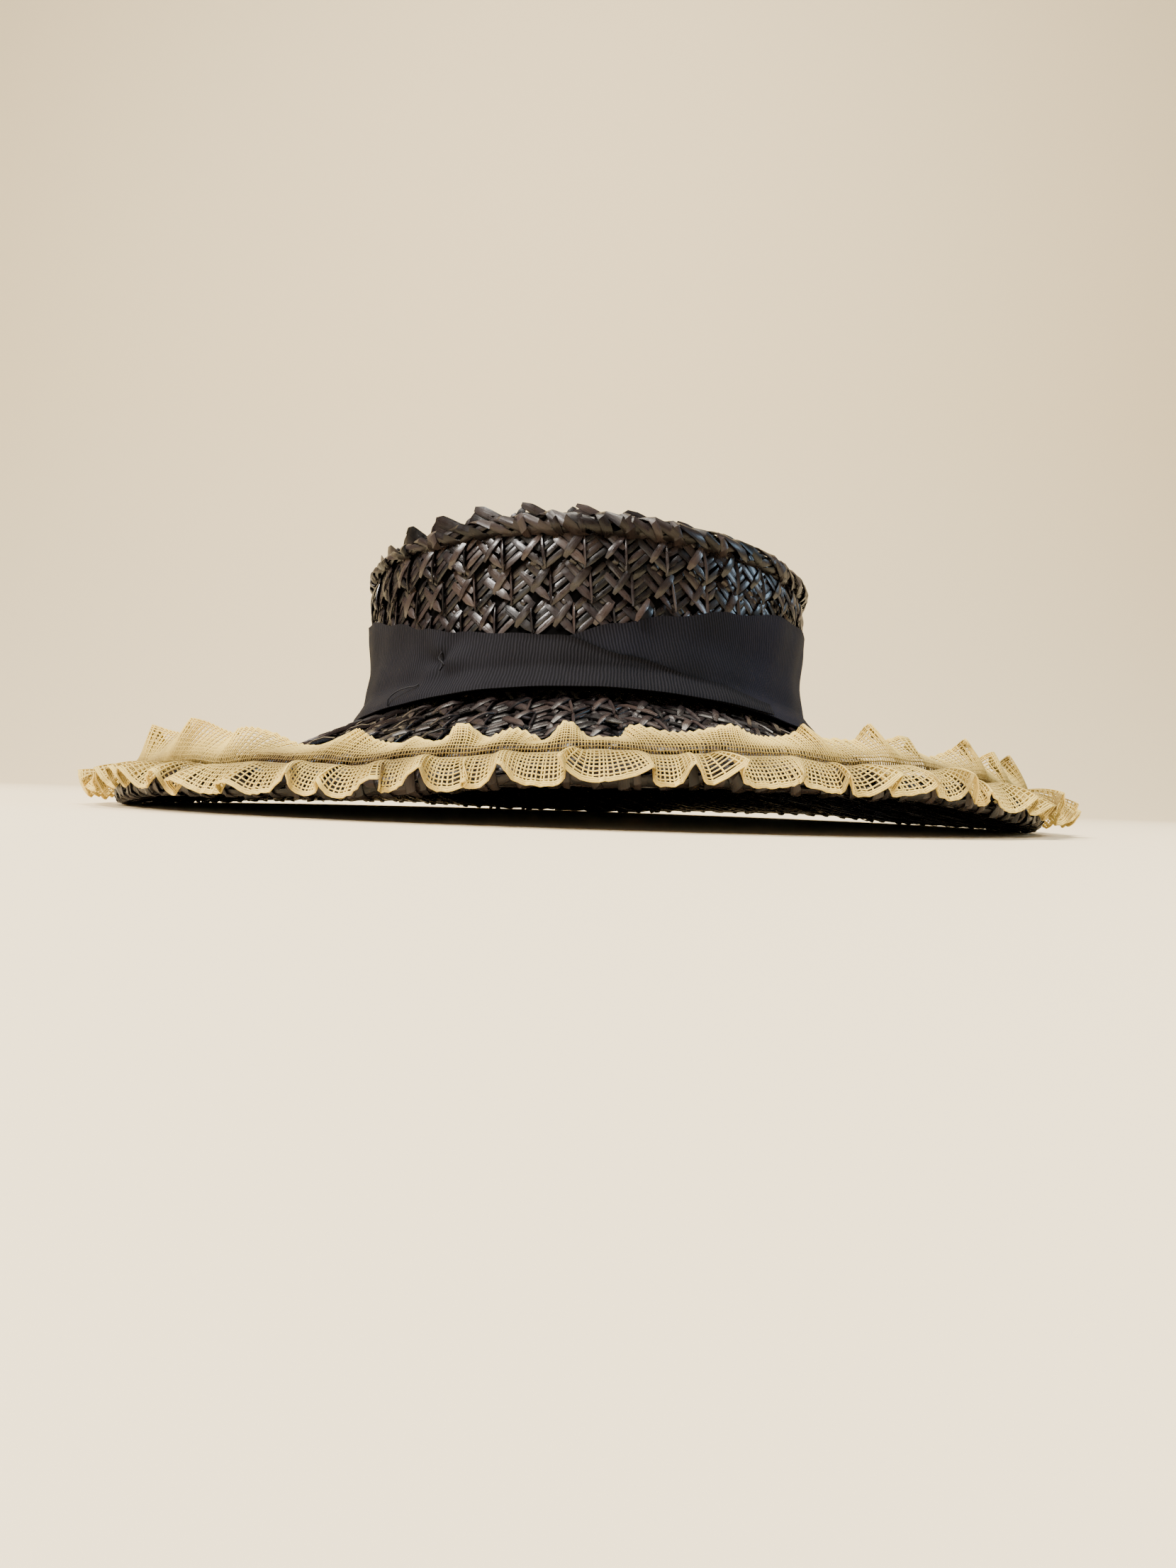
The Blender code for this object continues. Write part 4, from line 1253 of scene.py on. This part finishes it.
def frill(rows, kind, share, across):
    """Points of a frill, for shares round the seam and distances from it, both as grids.

    Its section is walked out from the seam in short steps, turning from the way it starts to
    its own angle at this place. It is then lifted off that section in the folds, moved aside
    to pinch the crests, and kept clear of the straw."""
    azimuth = 360 * share
    around_hat = np.mod(azimuth, 360)

    def row(name, gain=0.0):
        """One of the rows at these shares. gain is what it grows by in a whole round."""
        closed = np.append(rows[name], rows[name][0] + gain)
        return np.interp(share * PLACES, np.arange(PLACES + 1), closed)

    phase = row("phase", rows["turns"])
    strength, lean, wave = row("strength"), row("lean"), row("length")
    w = across / kind.width
    peak = np.exp(kind.sharpness * (np.cos(phase) - 1))
    swing = eased(kind.swings, around_hat) * strength * (peak - 0.12)
    resting = eased(kind.angles, around_hat)
    target = np.radians(resting + swing + row("sway"))
    start = np.radians(kind.start + kind.follow * np.maximum(0, resting - LAID_BACK))
    point_r, point_z = 0 * share, 0 * share
    for step in range(STEPS):
        part = (step + 0.5) / STEPS * w
        settle = np.clip(part / kind.settle, 0, 1)
        settle = settle * settle * (3 - 2 * settle)
        theta = start + (target - start) * settle + math.radians(kind.curl) * part**2
        point_r = point_r + np.cos(theta) * across / STEPS
        point_z = point_z + np.sin(theta) * across / STEPS
    grown = np.clip(w, 0, 1) ** 1.05
    height = np.clip(FOLD_SHARE * wave, FLATTEST, TALLEST) * strength * grown
    ripple = np.sin(2 * math.pi * share * round(STRIP_LENGTH / RIPPLE_LENGTH) + 3 * np.sin(9 * phase / 7))
    rise = height * (peak - 0.2) + RIPPLE * ripple * np.clip(w, 0, 1) ** 3
    radius = SEAM_RADIUS + point_r + kind.side * np.sin(theta) * rise
    level = seam_height(azimuth) + point_z - kind.side * np.cos(theta) * rise
    aside = (lean * peak - row("back") * wave * np.sin(phase)) * grown
    curl_over = lean * 0.35 * peak * np.clip(w - 0.55, 0, 1) * 4
    turned = azimuth + np.degrees((aside + curl_over) / SEAM_RADIUS)
    top = brim_underside(turned, np.minimum(radius, BRIM_RADIUS)) + BRIM_THICKNESS + CLEAR
    top = top + SEAM_CLEAR * np.exp(-((radius - 127.8) / 2.6) ** 2)
    over = np.clip((BRIM_RADIUS + 1.2 - radius) / 1.2, 0, 1)
    level = np.where(over > 0, np.maximum(level, top * over + (level - 5) * (1 - over)), level)
    return around(turned, radius, np.maximum(level, LOWEST_NET))


print("the net is gathered", round(STRIP_LENGTH / (2 * math.pi * SEAM_RADIUS), 2), "to one")

# %% [markdown]
# ## The threads of the net
#
# The net is woven so openly that the brim shows through it. A sheet with a picture of holes would
# have no thickness where the folds turn edge-on. So real threads are laid on the folded surface,
# both ways, with three thicker ones along the outer edge as a selvage. The threads that cross the
# strip stand a little unevenly. Threads near the seam, in the folds and where the net turns edge-on
# are stored darker, as painted shade. Each frill is made in two halves, so that no piece gets too
# heavy.

# %% Threads of the net
CELL = 1.12
CROSS_THREADS = 2 * round(STRIP_LENGTH / CELL / 2)
UPPER_PLACES = np.array([0.35, 1.3, 2.3, 3.3, 4.3, 5.35, 6.4, 7.45, 8.5, 9.4, 10.1, 10.6, 11.0])
LOWER_PLACES = np.array([0.35, 1.3, 2.3, 3.3, 4.3, 5.35, 6.4, 7.45, 8.5, 9.55, 10.6, 11.3, 11.7, 12.0])
THREAD_RADIUS, SELVAGE_RADIUS, SELVAGE = 0.19, 0.25, 3
WANDER, SLACK = 0.10, 0.07
FOLD_DARK = 0.25  # painted shade: what a thread keeps of its lightness where the net turns edge-on
OUTWARD_LENGTH = 1.12  # of the outward direction below, which also points up a little
# The dark colour is the net's painted shade in its folds, the pale one the net in the open.
NET = thread_material("cream_net_thread", (0.085, 0.043, 0.005), (0.80, 0.585, 0.15), 0.85)


def frill_halves(name, rows, kind, places, seed):
    draw = np.random.default_rng(seed)
    half = CROSS_THREADS // 2
    wobble = draw.normal(0, WANDER / STRIP_LENGTH, CROSS_THREADS + 1)
    wobble[-1] = wobble[0]
    wobble[half] = 0
    shares = np.arange(CROSS_THREADS + 1) / CROSS_THREADS + wobble
    shares[0], shares[-1] = 0, 1
    share, across = np.meshgrid(shares, places, indexing="ij")
    slack = SLACK * draw.normal(0, 1, share.shape)
    spots = frill(rows, kind, np.clip(share, 0, 1), across + slack * (across < places[-2]))
    spots[-1] = spots[0]
    normals = np.cross(np.gradient(spots, axis=0), np.gradient(spots, axis=1))
    normals /= np.maximum(np.linalg.norm(normals, axis=2, keepdims=True), 1e-9)
    turn = 2 * math.pi * share
    outward = np.stack([np.sin(turn), -np.cos(turn), 0.5 + 0 * turn], axis=2)
    # Painted shade: darker towards the seam and where the net turns edge-on to the outward way.
    lit = np.abs(np.sum(normals * outward, axis=2)) / OUTWARD_LENGTH
    outer = (places / places[-1]) ** 0.7 * (FOLD_DARK + (1 - FOLD_DARK) * np.clip(1.6 * lit, 0, 1))
    made = []
    for side, first, last in (("right", 0, half), ("left", half, CROSS_THREADS)):
        cross = tubes(spots[first:last], normals[first:last], THREAD_RADIUS, shade=outer[first:last])
        part, facing, shade = (np.swapaxes(rows_of[first:last + 1], 0, 1)
                               for rows_of in (spots, normals, outer))
        inner = tubes(part[:-SELVAGE], facing[:-SELVAGE], THREAD_RADIUS, shade=shade[:-SELVAGE])
        selvage = tubes(part[-SELVAGE:], facing[-SELVAGE:], SELVAGE_RADIUS, shade=shade[-SELVAGE:])
        made.append(thread_piece(f"{name}_{side}", [cross, inner, selvage], NET))
    return made


upper_rows = fold_rows(
    seed=21, folds=58, sizes=(0.4, 0.65, 1.0, 1.5, 2.2), strengths=(0.15, 1.3), pinches=(0.0, 0.05),
)
lower_rows = fold_rows(
    seed=22, folds=82, sizes=(0.45, 0.65, 1.0, 1.4, 1.9), strengths=(0.4, 1.5), pinches=(0.02, 0.11),
)
ruffle = frill_halves("upper_frill", upper_rows, UPPER, UPPER_PLACES, 31)
ruffle += frill_halves("lower_frill", lower_rows, LOWER, LOWER_PLACES, 32)
for piece in ruffle:
    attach(piece, "root")
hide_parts("net_ruffle")

# %% [markdown]
# ## The gathering thread
#
# The strip is drawn up on one thread, which lies in the groove between the two frills and is
# sewn down with it. It is a single tube round the hat, a little above the seam.

# %% Gathering thread
SEAM_POINTS, SEAM_THREAD_RADIUS = 721, 0.22
seam_turn = np.linspace(0, 2 * math.pi, SEAM_POINTS)
seam_azimuth = np.degrees(seam_turn)
seam_level = seam_height(seam_azimuth) + 0.25 + 0.18 * np.sin(360 * seam_turn)
seam_path = around(seam_azimuth, np.full(SEAM_POINTS, SEAM_RADIUS + 0.5), seam_level)
upwards = np.tile([0.0, 0.0, 1.0], (1, SEAM_POINTS, 1))
seam_thread = thread_piece(
    "gathering_thread", [tubes(seam_path[None], upwards, SEAM_THREAD_RADIUS)], NET,
)
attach(seam_thread, "root")
